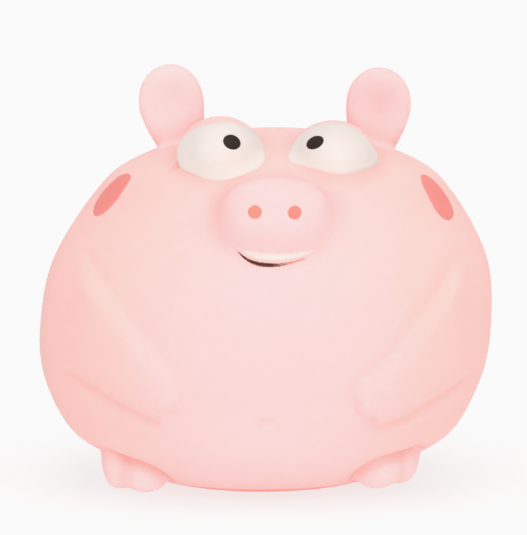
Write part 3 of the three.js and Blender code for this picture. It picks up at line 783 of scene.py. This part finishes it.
# Painted shade: lines of deeper pink on the front, along arms, shoulders, finger clefts and belly button:
# pixels, half width and tint
FRONT_BEFORE, FRONT_BELOW = -5.0, 66.0
SHADE_LINES = [(BELLY_BUTTON, 0.7, 0.07), (ARM_UPPER["left"], 2.2, 0.05)]
for side in ("left", "right"):
    SHADE_LINES += [(ARM_LOWER[side][1:], 0.8, 0.12), (FINGER_CLEFT[side], 0.6, 0.11),
                     (SHOULDER_LINE[side], 1.6, 0.07)]
# Painted shade: rosier away from the belly's middle (a painted highlight), less on the crown, none on snout and
# feet
BELLY_HEIGHT, BELLY_ACROSS, BELLY_UP, BELLY_RUN = 36.0, 58.0, 66.0, (0.1, 1.0)
CROWN_LOSS, CROWN_HEIGHTS, PLAIN_EDGE = 0.45, (78.0, 96.0), 4.0
# Painted light: lighter pink on the feet and low on the belly
FOOT_LIGHT, LOW_LIGHT, LOW_LIGHT_HEIGHT, LOW_LIGHT_ACROSS, LOW_LIGHT_UP = 0.7, 0.35, 20.0, 20.0, 9.0


def to_feet(points):
    return np.minimum(*(foot(points) for foot in feet))


def crease_shade_share(points):
    """Painted shade at points, from 0 to 1: in creases of the skin, underneath, and at the feet."""
    outward = unit(facing(points, skin))
    depth = 0
    for reach, tint in CREASE_SHADE_BALLS:
        depth = depth + tint * np.clip(1 - skin(points + reach * outward) / reach, 0, 1)
    to_foot, height = to_feet(points), points[:, 2]
    foot_share = on_foot(to_foot)
    underside = CONTACT_TINT * ease(*CONTACT_HEIGHTS, height) + LOW_TINT * ease(*LOW_HEIGHTS, height)
    underside = underside + BESIDE_TINT * fall_off(to_foot, BESIDE_WIDTH)
    sole = SOLE_TINT * ease(*SOLE_HEIGHTS, height)
    seam = SEAM_TINT * fall_off(np.abs(to_foot) + np.abs(body(points)), SEAM_WIDTH)
    cleft = TOE_TINT * np.maximum(*(foot.cleft(points) for foot in feet))
    depth = depth * (1 - FOOT_PALENESS * foot_share) + underside * (1 - foot_share) + sole * foot_share
    return np.clip(depth + cleft + seam * ease(*SEAM_HEIGHTS, height), 0, 1)


def hollow_shade(points):
    """Painted shade: deeper pink in the hollow between each eye and ear."""
    away = np.linalg.norm(points[:, None] - eye_hollows, axis=2).min(1)
    return HOLLOW_TINT * fall_off(away, HOLLOW_SPREAD)


def drawn_shade(points):
    """Painted shade along the arms, between the fingers, in the belly button and beside snout and eyes."""
    depth = DIMPLE_TINT * fall_off(np.linalg.norm(points - dimple, axis=1), DIMPLE_SPREAD)
    depth = depth + hollow_shade(points)
    beside = fall_off(snout(points) - SNOUT_AWAY, SNOUT_SPREAD) * ease(*SNOUT_ACROSS_RUN, points[:, 0])
    depth = depth + SNOUT_TINT * beside * (points[:, 2] < SNOUT_TINT_TOP)
    front = np.nonzero((points[:, 1] < FRONT_BEFORE) & (points[:, 2] < FRONT_BELOW))[0]
    for pixels, width, tint in SHADE_LINES:
        away = line_distance(points[front][:, [0, 2]], over_plane(pixels, MIDDLE_LINE))
        depth[front] += tint * fall_off(away, width)
    return depth


def flank_shade_share(points):
    """How much painted shade the flanks get, from 0 to 1, by how far points lie from the belly's middle."""
    x, y, z = points.T
    from_belly = np.sqrt((x / BELLY_ACROSS) ** 2 + ((z - BELLY_HEIGHT) / BELLY_UP) ** 2)
    share = np.where(y < 0, ease(*BELLY_RUN, from_belly), 1) * (1 - CROWN_LOSS * ease(*CROWN_HEIGHTS, z))
    for form in (snout, *feet):
        share = share * ease(0.0, PLAIN_EDGE, form(points))
    return share


def light_share(points):
    """Where painted light makes the pink lightest, from 0 to 1."""
    x, y, z = points.T
    low_belly = fall_off(x, LOW_LIGHT_ACROSS) * fall_off(z - LOW_LIGHT_HEIGHT, LOW_LIGHT_UP) * (y < 0)
    return np.maximum(FOOT_LIGHT * on_foot(to_feet(points)), LOW_LIGHT * low_belly)


def without_disc(points, faces, height):
    """Faces left when a disc is cut from a level floor."""
    in_disc = (np.abs(points[:, 2] - height) < LEVEL) & (np.hypot(points[:, 0], points[:, 1]) < CUT_RADIUS)
    return faces[~in_disc[faces].all(1)]


def hole_rings():
    turn = np.linspace(0, 2 * pi, HOLE_SIDES, endpoint=False)
    rings = [np.stack([r * np.cos(turn), r * np.sin(turn), np.full(HOLE_SIDES, z)], 1) for r, z in HOLE_RING]
    return np.concatenate(rings), np.array(strip_faces(len(rings), HOLE_SIDES))


def skin_mesh():
    """Points, faces and painted crease shade of the skin: outside, hollow and hole, joined by two flat rings.
    """
    outer, outer_faces = net_over(skin, LOW, HIGH, SKIN_STEP)
    outer = relaxed(settle(outer, skin), outer_faces, skin)
    inner, inner_faces = net_over(hollow, LOW, HIGH, HOLLOW_STEP)
    inner = relaxed(settle(inner, hollow), inner_faces, hollow)
    rings, ring_faces = hole_rings()
    # Painted shade from creases, undersides, the feet and drawn lines, on the outside only
    creases = np.clip(crease_shade_share(outer) + drawn_shade(outer), 0, 1)
    creases = np.concatenate([creases, np.zeros(len(inner) + len(rings))])
    points = np.concatenate([outer, inner, rings])
    faces = [without_disc(outer, outer_faces, 0.0)]
    faces.append(without_disc(inner, inner_faces, BASE)[:, ::-1] + len(outer))
    faces.append(ring_faces + len(outer) + len(inner))
    made = bmesh.new()
    mark = made.verts.layers.float.new("crease")
    corners = [made.verts.new(point) for point in points]
    for corner, crease in zip(corners, creases):
        corner[mark] = crease
    for face in np.concatenate(faces):
        made.faces.new([corners[i] for i in face])
    bmesh.ops.delete(made, geom=[v for v in made.verts if not v.link_faces], context="VERTS")
    for height, facing_z in ((0.0, -1.0), (BASE, 1.0)):
        rim = [e for e in made.edges if e.is_boundary and abs(e.verts[0].co.z - height) < RIM_LEVEL]
        bmesh.ops.triangle_fill(made, use_beauty=True, edges=rim, normal=(0, 0, facing_z))
    bmesh.ops.recalc_face_normals(made, faces=made.faces)
    index = {corner: i for i, corner in enumerate(made.verts)}
    points = np.array([corner.co for corner in made.verts])
    faces = [[index[corner] for corner in face.verts] for face in made.faces]
    creases = [corner[mark] for corner in made.verts]
    made.free()
    return points, faces, creases


points, faces, creases = skin_mesh()
skin_shares = {"crease": creases, "flank_shade": flank_shade_share(points), "light": light_share(points)}
skin_piece = add_piece("moulded_skin", points, faces, **skin_shares)
rubber.give(skin_piece)
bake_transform(skin_piece)
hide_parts("upper_skin", "lower_skin")

# Ears: dished paddles that run out on to the head in a soft fillet

EAR_LIFT, EAR_HALF_WIDTH, EAR_WIDEST_AT, EAR_NECK = 2.0, 8.5, 0.44, 10.6
EAR_HALF_THICKNESS, EAR_ROOT_RADIUS = 3.6, 2.9
# The ears are not quite a pair: place across, length, splay in degrees, depth of the dish, how deep the
# painted shade is at the root and in the dish, and how much painted light elsewhere
EARS = {"left": (26.5, 18.0, 2.5, 2.9, 0.22, 0.14, 0.1), "right": (25.6, 18.7, 5.6, 2.2, 0.16, 0.0, 0.55)}
# Narrowing of the neck on its outer and inner side, and the painted shade along the rim
OUTER_NARROWING, INNER_NARROWING, EAR_RIM_TINT = 3.6, 1.4, 0.08
EAR_SIDES, EAR_ROWS, FILLET_ROWS = 64, 30, 9
# The ears get a little of the flanks' painted shade
EAR_FLANK_SHADE, BEND_FROM, BEND_TO = 0.1, -1.0, 7.0


class Ear:
    # Shares of the length: where the ear is thickest, and where its dish starts, is full and runs out
    THICKEST_AT, DISH_START, DISH_FULL, DISH_FADES = 0.5, -0.1, 0.42, 0.46
    NECK_POWER, TIP_POWER, DISH_POWER, NECK_LIMIT = 1.6, 2.2, 2.6, 1.1
    # The root's fillet at the sides, with what it has more in front and behind
    FILLET, MORE_IN_FRONT, MORE_BEHIND = 1.0, 1.8, 0.8
    LOWEST_SHARE, HIGHEST_SHARE, TRIES = -0.3, 0.6, 361
    SKIRT_SINK, ROOT_DEPTH, ROOT_DOME = 0.05, 1.3, 0.6
    # Where the painted shade lies: along the rim, up from the root, in the dish and on the fillet
    RIM_FROM, ROOT_FROM, ROOT_TO, SKIRT_EDGE = 0.7, -2.5, 6.0, 1.6
    DISH_ACROSS, DISH_UP, DISH_MIDDLE = 5.6, 8.0, 6.5

    def __init__(self, name, side):
        across, self.length, splay, self.dish, self.root_tint, self.dish_tint, self.light = EARS[name]
        seat = np.array([[side * across, 0, crown_height(across, 0)]])
        self.side, self.head_up = side, unit(facing(seat, egg))[0]
        self.axis = seat[0] + EAR_LIFT * self.head_up
        self.up = np.array([side * sin(radians(splay)), 0, cos(radians(splay))])
        self.across = np.array([self.up[2], 0, -self.up[0]])

    def wall(self, share, turn):
        """Points of the paddle at shares of its length and turns round it; the front is at turn 3/4."""
        down = np.clip((EAR_WIDEST_AT - share) * self.length / EAR_NECK, 0, self.NECK_LIMIT)
        above = np.clip((share - EAR_WIDEST_AT) / (1 - EAR_WIDEST_AT), 0, 1)
        outer = ease(-1, 1, self.side * np.cos(turn))
        narrowing = INNER_NARROWING + (OUTER_NARROWING - INNER_NARROWING) * outer
        half = (EAR_HALF_WIDTH - narrowing * down**self.NECK_POWER) * np.sqrt(1 - above**self.TIP_POWER)
        thick = EAR_ROOT_RADIUS + (EAR_HALF_THICKNESS - EAR_ROOT_RADIUS) * ease(0, self.THICKEST_AT, share)
        thinning = np.clip((share - self.THICKEST_AT) / (1 - self.THICKEST_AT), 0, 1)
        thick = thick * np.sqrt(1 - thinning**self.TIP_POWER)
        dish = self.dish * ease(self.DISH_START, self.DISH_FULL, share)
        dish = dish * (1 - ease(self.DISH_FADES, 1.0, share))
        x = (half * np.cos(turn))[:, None] * self.across
        y = thick * np.sin(turn) + dish * np.clip(-np.sin(turn), 0, 1) ** self.DISH_POWER
        return self.axis + x + y[:, None] * [0, 1, 0] + self.length * share[:, None] * self.up

    def mesh(self):
        turn = np.linspace(0, 2 * pi, EAR_SIDES, endpoint=False)
        tries = np.linspace(self.LOWEST_SHARE, self.HIGHEST_SHARE, self.TRIES)
        foot = np.empty(EAR_SIDES)
        for j, angle in enumerate(turn):
            sunk = skin(self.wall(tries, np.full(len(tries), angle))) < 0
            foot[j] = tries[np.nonzero(sunk)[0].max()] + (tries[1] - tries[0]) / 2
        radius = self.FILLET + self.MORE_IN_FRONT * np.clip(-np.sin(turn), 0, 1)
        radius = radius + self.MORE_BEHIND * np.clip(np.sin(turn), 0, 1)
        corner = settle(self.wall(foot, turn), skin)
        normal = unit(facing(corner, skin))
        outward = np.cos(turn)[:, None] * self.across + np.sin(turn)[:, None] * [0, 1, 0]
        outward = unit(outward - (outward * normal).sum(1, keepdims=True) * normal)
        run_out = settle(corner + radius[:, None] * outward, skin)
        run_out = run_out - self.SKIRT_SINK * unit(facing(run_out, skin))
        start = foot + radius / self.length
        steps = np.linspace(0, 1, EAR_ROWS + 1)[1:]
        rings = [self.wall(1 - (1 - start) * (1 - cos(pi / 2 * step)), turn) for step in steps]
        top = rings[-1]
        for u in np.linspace(0, 1, FILLET_ROWS + 1)[1:]:
            rings.append((1 - u) ** 2 * top + 2 * u * (1 - u) * corner + u * u * run_out)
        under = run_out - self.ROOT_DEPTH * unit(facing(run_out, skin))
        rings.append(under)
        tip = self.wall(np.ones(1), np.zeros(1))
        bottom = under.mean(0, keepdims=True) - self.ROOT_DOME * self.head_up
        points = np.concatenate([*rings, tip, bottom])
        faces = strip_faces(len(rings), EAR_SIDES)
        tip_index, bottom_index = len(points) - 2, len(points) - 1
        for j in range(EAR_SIDES):
            k, last = (j + 1) % EAR_SIDES, tip_index - EAR_SIDES
            faces += [(tip_index, j, k), (bottom_index, last + k, last + j)]
        return points, faces

    def creases(self, points):
        """Painted shade at the root, in the dish and along the rim, and the skin's painted shade on the fillet.
        """
        away = points - self.axis
        across, along = away @ self.across, away @ self.up
        above = np.maximum(along / self.length - EAR_WIDEST_AT, 0) / (1 - EAR_WIDEST_AT)
        rim = ease(self.RIM_FROM, 1.0, np.hypot(across / EAR_HALF_WIDTH, above))
        root = 1 - ease(self.ROOT_FROM, self.ROOT_TO, along)
        from_middle = np.hypot(across / self.DISH_ACROSS, (along - self.DISH_MIDDLE) / self.DISH_UP)
        dish = (1 - ease(0.0, 1.0, from_middle)) * (away[:, 1] < 0)
        clear = ease(0.0, self.SKIRT_EDGE, skin(points))
        deep = self.root_tint * root + self.dish_tint * dish + EAR_RIM_TINT * rim
        return np.clip(deep * clear + crease_shade_share(points) * (1 - clear) + hollow_shade(points), 0, 1)


for name, side in (("left", 1), ("right", -1)):
    shape = Ear(name, side)
    points, faces = shape.mesh()
    ear_shares = {"crease": shape.creases(points), "flank_shade": np.full(len(points), EAR_FLANK_SHADE),
                  "light": np.full(len(points), shape.light)}
    ear = add_piece(f"soft_ear_{name}", points, faces, **ear_shares)
    rubber.give(ear)
    start, end = into_frame(shape.axis + np.array([[BEND_FROM], [BEND_TO]]) * shape.head_up)
    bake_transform(ear)
    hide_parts(f"ear_{name}")

# Paint: thin films that lie on the skin and sink into it at their rims

FILM_ROOT, RIM_SINK = 0.4, 0.07
# Films: rise, width of the slope at the rim, and how many points round and inwards, or along and across
EYE_FILM, PUPIL_FILM = (0.3, 1.0, 128, 26), (0.4, 0.3, 48, 9)
CHEEK_FILM, NOSTRIL_FILM = (0.14, 0.5, 72, 16), (0.14, 0.3, 40, 9)
TEETH_FILM, MOUTH_FILM = (0.1, 1.2, 56, 9), (0.16, 0.4, 56, 9)
CROWDING, FADE_WIDTH, SOFT_FADE, SOFT_FROM = 1.5, 1.5, 3.2, 0.2
END_FADE, END_FROM, OVAL_POINTS = 0.5, 0.7, 16
# Painted light: the paint is lighter where the skin turns away from the lamps, between two cosines
FACING_LAMPS, TURNED_RUN = unit(np.array([0.1, -1.0, 0.7])), (0.75, 0.15)


def film(pixels, faces, border, edge_line, rise, ramp):
    """A film over pixels: points and faces, distances from the edge and outward directions."""
    under = settle(seen_at(pixels, skin), skin)
    outward, count = unit(facing(under, skin)), len(under)
    edge = np.array([np.linalg.norm(under[edge_line] - point, axis=1).min() for point in under])
    height = -RIM_SINK + (rise + RIM_SINK) * np.sqrt(ease(0.0, ramp, edge))
    points = np.concatenate([under + height[:, None] * outward, under - FILM_ROOT * outward])
    lower = [tuple(i + count for i in face[::-1]) for face in faces]
    rim = [(a, b, b + count, a + count) for a, b in zip(border, border[1:] + border[:1])]
    return points, faces + lower + rim, edge, outward


def both_sides(**shares):
    """Values at a film's upper points, for its lower points too."""
    return {label: np.tile(values, 2) for label, values in shares.items()}


def spot_film(outline, size, soft_side=(0, 0)):
    """A round film inside a closed outline. Its paint thins out further in on its soft side."""
    rise, ramp, sides, rows = size
    outer = closed_curve(outline, sides)[::-1]
    middle = outer.mean(0)
    steps = 1 - (1 - np.linspace(0, 1, rows + 1)[1:]) ** CROWDING
    pixels = np.vstack([*(middle + (outer - middle) * s for s in steps), middle])
    faces = strip_faces(rows, sides) + [(rows * sides, j, (j + 1) % sides) for j in range(sides)]
    border = list(range((rows - 1) * sides, rows * sides))[::-1]
    points, faces, edge, outward = film(pixels, faces, border, border, rise, ramp)
    bearing = (pixels - middle) / (np.linalg.norm(pixels - middle, axis=1, keepdims=True) + 1e-6)
    fade = FADE_WIDTH + SOFT_FADE * ease(SOFT_FROM, 1.0, bearing @ np.array(soft_side, float))
    turned = ease(*TURNED_RUN, outward @ FACING_LAMPS)
    return points, faces, both_sides(rim=1 - np.clip(edge / fade, 0, 1), turned=turned)


def band_film(upper, lower, size, fades_up=False):
    """A long film between two lines. Its paint thins at both edges, or upwards and at one end."""
    rise, ramp, columns, rows = size
    top, bottom = open_curve(upper, columns), open_curve(lower, columns)
    shares = np.linspace(0, 1, rows)
    pixels = np.concatenate([top + (bottom - top) * s for s in shares])
    grid = np.arange(rows * columns).reshape(rows, columns)
    border = np.concatenate([grid[0], grid[1:, -1], grid[-1, -2::-1], grid[-2:0:-1, 0]]).tolist()
    edge_line = np.concatenate([grid[0], grid[-1]])
    points, faces, _, _ = film(pixels, strip_faces(rows, columns, False), border, edge_line, rise, ramp)
    along = np.tile(np.linspace(0, 1, columns), rows)
    across = np.repeat(np.abs(2 * shares - 1), columns)
    fade = np.repeat(1 - shares, columns) + END_FADE * np.clip(along - END_FROM, 0, 1)
    return points, faces, both_sides(rim=fade if fades_up else across, along=along)


def turned_oval(x, y, long, short, tilt=0.0):
    turn = np.linspace(0, 2 * pi, OVAL_POINTS, endpoint=False)
    a, b = long * np.cos(turn), short * np.sin(turn)
    return np.stack([x + a * cos(tilt) - b * sin(tilt), y + a * sin(tilt) + b * cos(tilt)], 1)


EYE_WHITE = {
    "right": [(178.5, 146), (184, 136.8), (191, 131), (199.5, 127), (209, 124), (218.5, 122.3), (228, 122.1),
              (238, 123.8), (248, 127.4), (255.5, 133), (260.5, 139.6), (264.2, 146.5), (266, 154),
              (265.5, 161.3), (262, 166), (256, 169.8), (248, 173.3), (240, 176.3), (232, 179), (223.5, 181),
              (215, 181.6), (207, 180.7), (199.5, 178), (191.5, 174.8), (183.5, 171.2), (178.2, 166.6),
              (176.6, 160), (176.8, 152.5)],
    "left": [(286.7, 157), (289.5, 149.2), (294.7, 141), (300.5, 134.8), (308, 129.2), (316, 125), (325, 122.9),
             (334.5, 122.8), (344, 124.4), (352.5, 128), (359.5, 132.5), (366, 138), (371.4, 144.2),
             (375.4, 151), (377.6, 157.6), (377, 163.4), (373, 167.1), (366, 169.8), (358, 172.4),
             (350, 174.8), (341.5, 175.7), (332.5, 175.2), (322.5, 173), (312.5, 169.9), (303, 166.9),
             (295, 164.4), (289.3, 161.8)],
}
SOFT_SIDE = {"right": (-0.97, 0.25), "left": (-0.45, 0.89)}
PUPIL = {"right": turned_oval(231.5, 142.8, 9.5, 7.6, radians(24)),
         "left": turned_oval(315.6, 143.3, 9.7, 6.4, radians(-27))}
CHEEK = {
    "right": [(128, 173.3), (131, 175), (131, 179), (126, 187.2), (118.8, 197.9), (110.8, 207.6), (103.2, 214),
              (97, 216.7), (93.4, 214.6), (93.2, 209), (96.1, 202), (101.9, 193), (109, 185), (117.5, 177.2),
              (123.5, 174)],
    "left": [(420.4, 175), (423.4, 174.2), (427.3, 175.5), (434, 180.6), (442.7, 190.6), (450, 201.8),
             (453.8, 212), (453, 217.4), (449, 220.9), (443.3, 219.1), (437, 213), (430.6, 202.7), (424.4, 190),
             (421, 181)],
}
NOSTRIL = {"right": turned_oval(254.9, 212.0, 7.4, 7.5), "left": turned_oval(294.6, 212.5, 7.6, 7.4)}
TEETH_TOP = [(239, 248.9), (250, 249), (262, 249.6), (276, 251.2), (290, 251.2), (304, 249), (320, 248.4)]
TEETH_FOOT = [(239, 249.4), (245, 255.2), (255, 260.2), (267, 261.8), (281, 261.6), (294, 259.8), (307, 256),
              (320, 249.4)]
MOUTH_TOP = [(236.4, 249.6), (242, 254.1), (247.5, 257.8), (254.5, 260.2), (262, 261.8), (270, 262.8),
             (279, 263), (288, 261.8), (297, 259.8), (307, 257)]
MOUTH_FOOT = [(236.6, 250.4), (240.3, 255.6), (246, 261.2), (253, 265.3), (261, 267.5), (270, 268), (280, 267),
              (289, 265), (298, 262.2), (307, 258.4)]

# Eye paint, lighter as painted light where it turns away from the lamps
cream = paint_finish("cream_eye_paint", CREAM, WARM_CREAM, thick=LIT_CREAM)
tooth_cream = paint_finish("cream_tooth_paint", TOOTH_CREAM, TOOTH_SHADE, 0.25, rim=TOOTH_RIM)
coral = paint_finish("coral_cheek_paint", CORAL, LIGHT_CORAL)
nostril_coral = paint_finish("coral_nostril_paint", NOSTRIL_CORAL, NOSTRIL_LIGHT)
brown, dark = mouth_finish(), pupil_finish()

films = [("teeth", band_film(TEETH_TOP, TEETH_FOOT, TEETH_FILM, True), tooth_cream, "teeth"),
         ("mouth_line", band_film(MOUTH_TOP, MOUTH_FOOT, MOUTH_FILM), brown, "mouth_line")]
for name in ("left", "right"):
    films += [(f"eye_white_{name}", spot_film(EYE_WHITE[name], EYE_FILM, SOFT_SIDE[name]), cream, "eye_white"),
              (f"pupil_{name}", spot_film(PUPIL[name], PUPIL_FILM), dark, "pupil"),
              (f"cheek_{name}", spot_film(CHEEK[name], CHEEK_FILM), coral, "cheek"),
              (f"nostril_{name}", spot_film(NOSTRIL[name], NOSTRIL_FILM), nostril_coral, "nostril")]
for node, (points, faces, shares), finish, slot in films:
    piece = add_piece(f"painted_{node}", points, faces, **shares)
    finish.give(piece)
    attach(piece, "head")
    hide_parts(node)

# Filling: a lump of fibre that fills the hollow round the squeaker

FIBRE_CLEARANCE, LUMP_RISE, FIBRE_FILLET = 0.9, 0.35, 1.5
# Room for the squeaker's cup and its flange: radius and top
SQUEAKER_ROOM = ((9.6, 15.6), (12.4, 6.4))


def fibre_lump(points):
    x, y, z = points.T
    lumps = np.sin(x / 5.1 + 0.7) * np.sin(y / 4.7 - 0.4) + np.sin(z / 4.3 + x / 9.0) * np.sin(y / 6.2 + 1.3)
    room = np.minimum(*(np.maximum(np.hypot(x, y) - radius, z - top) for radius, top in SQUEAKER_ROOM))
    return soft_cut(hollow(points, FIBRE_CLEARANCE) + LUMP_RISE * lumps, -room, FIBRE_FILLET)


points, faces = net_over(fibre_lump, LOW, HIGH, FILLING_STEP)
filling = add_piece("fibre_filling", settle(points, fibre_lump, 2), faces)
fibre_finish().give(filling)
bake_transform(filling)
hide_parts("filling")

# Squeaker: the CAD solids with the finish of moulded insert parts

cup_finish = moulded_finish("ivory_squeaker_plastic", IVORY, LIGHT_IVORY, 0.35)
reed_finish = moulded_finish("clear_amber_reed", AMBER, LIGHT_AMBER, 0.25)
for node in ("squeaker_cup", "reed_seat", "reed_clip", "squeaker_cap"):
    cup_finish.give(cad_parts[node])
reed_finish.give(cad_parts["reed_tongue"])

# Studio: a pale light table, light from all round and broad soft lamps in front

FLOOR_HALF = 8.0
FLOOR_CORNERS = [(x * FLOOR_HALF, y * FLOOR_HALF, 0) for x, y in ((-1, -1), (1, -1), (1, 1), (-1, 1))]
floor_mesh = bpy.data.meshes.new("floor")
floor_mesh.from_pydata(FLOOR_CORNERS, [], [(0, 1, 2, 3)])
floor = bpy.data.objects.new("floor", floor_mesh)
bpy.context.scene.collection.objects.link(floor)
paper = Finish("white_light_table", LIGHT_TABLE)
paper.color(paper.mix(paper.noise(3), TABLE_GREY, LIGHT_TABLE_GREY))
paper.give(floor)
floor.visible_shadow = False

SKY = 0.79
# Soft lamps, one of them under the light table: strength, spread, turn and height in degrees
LAMPS = {"front_lamp": (1.45, 30, 3, 6), "top_lamp": (1.2, 50, 4, 72), "table_lamp": (0.65, 60, 4, -35)}
studio = bpy.data.worlds.new("studio")
studio.use_nodes = True
sky = studio.node_tree.nodes["Background"]
sky.inputs["Color"].default_value, sky.inputs["Strength"].default_value = WHITE, SKY
bpy.context.scene.world = studio
for name, (strength, spread, turn, height) in LAMPS.items():
    lamp = bpy.data.lights.new(name, "SUN")
    lamp.energy, lamp.angle = strength, radians(spread)
    lamp_piece = bpy.data.objects.new(name, lamp)
    lamp_piece.rotation_euler = (pi / 2 - radians(height), 0, radians(turn))
    bpy.context.scene.collection.objects.link(lamp_piece)

# White is a little below full, as in the photograph
WHITE_LEVEL, COMBINED_CURVE = 0.955, 3
view = bpy.context.scene.view_settings
view.view_transform = "Standard"
view.use_curve_mapping = True
tone = view.curve_mapping.curves[COMBINED_CURVE]
tone.points[1].location = (WHITE_LEVEL, WHITE_LEVEL)
for point in tone.points:
    point.handle_type = "VECTOR"
view.curve_mapping.extend = "HORIZONTAL"
view.curve_mapping.update()
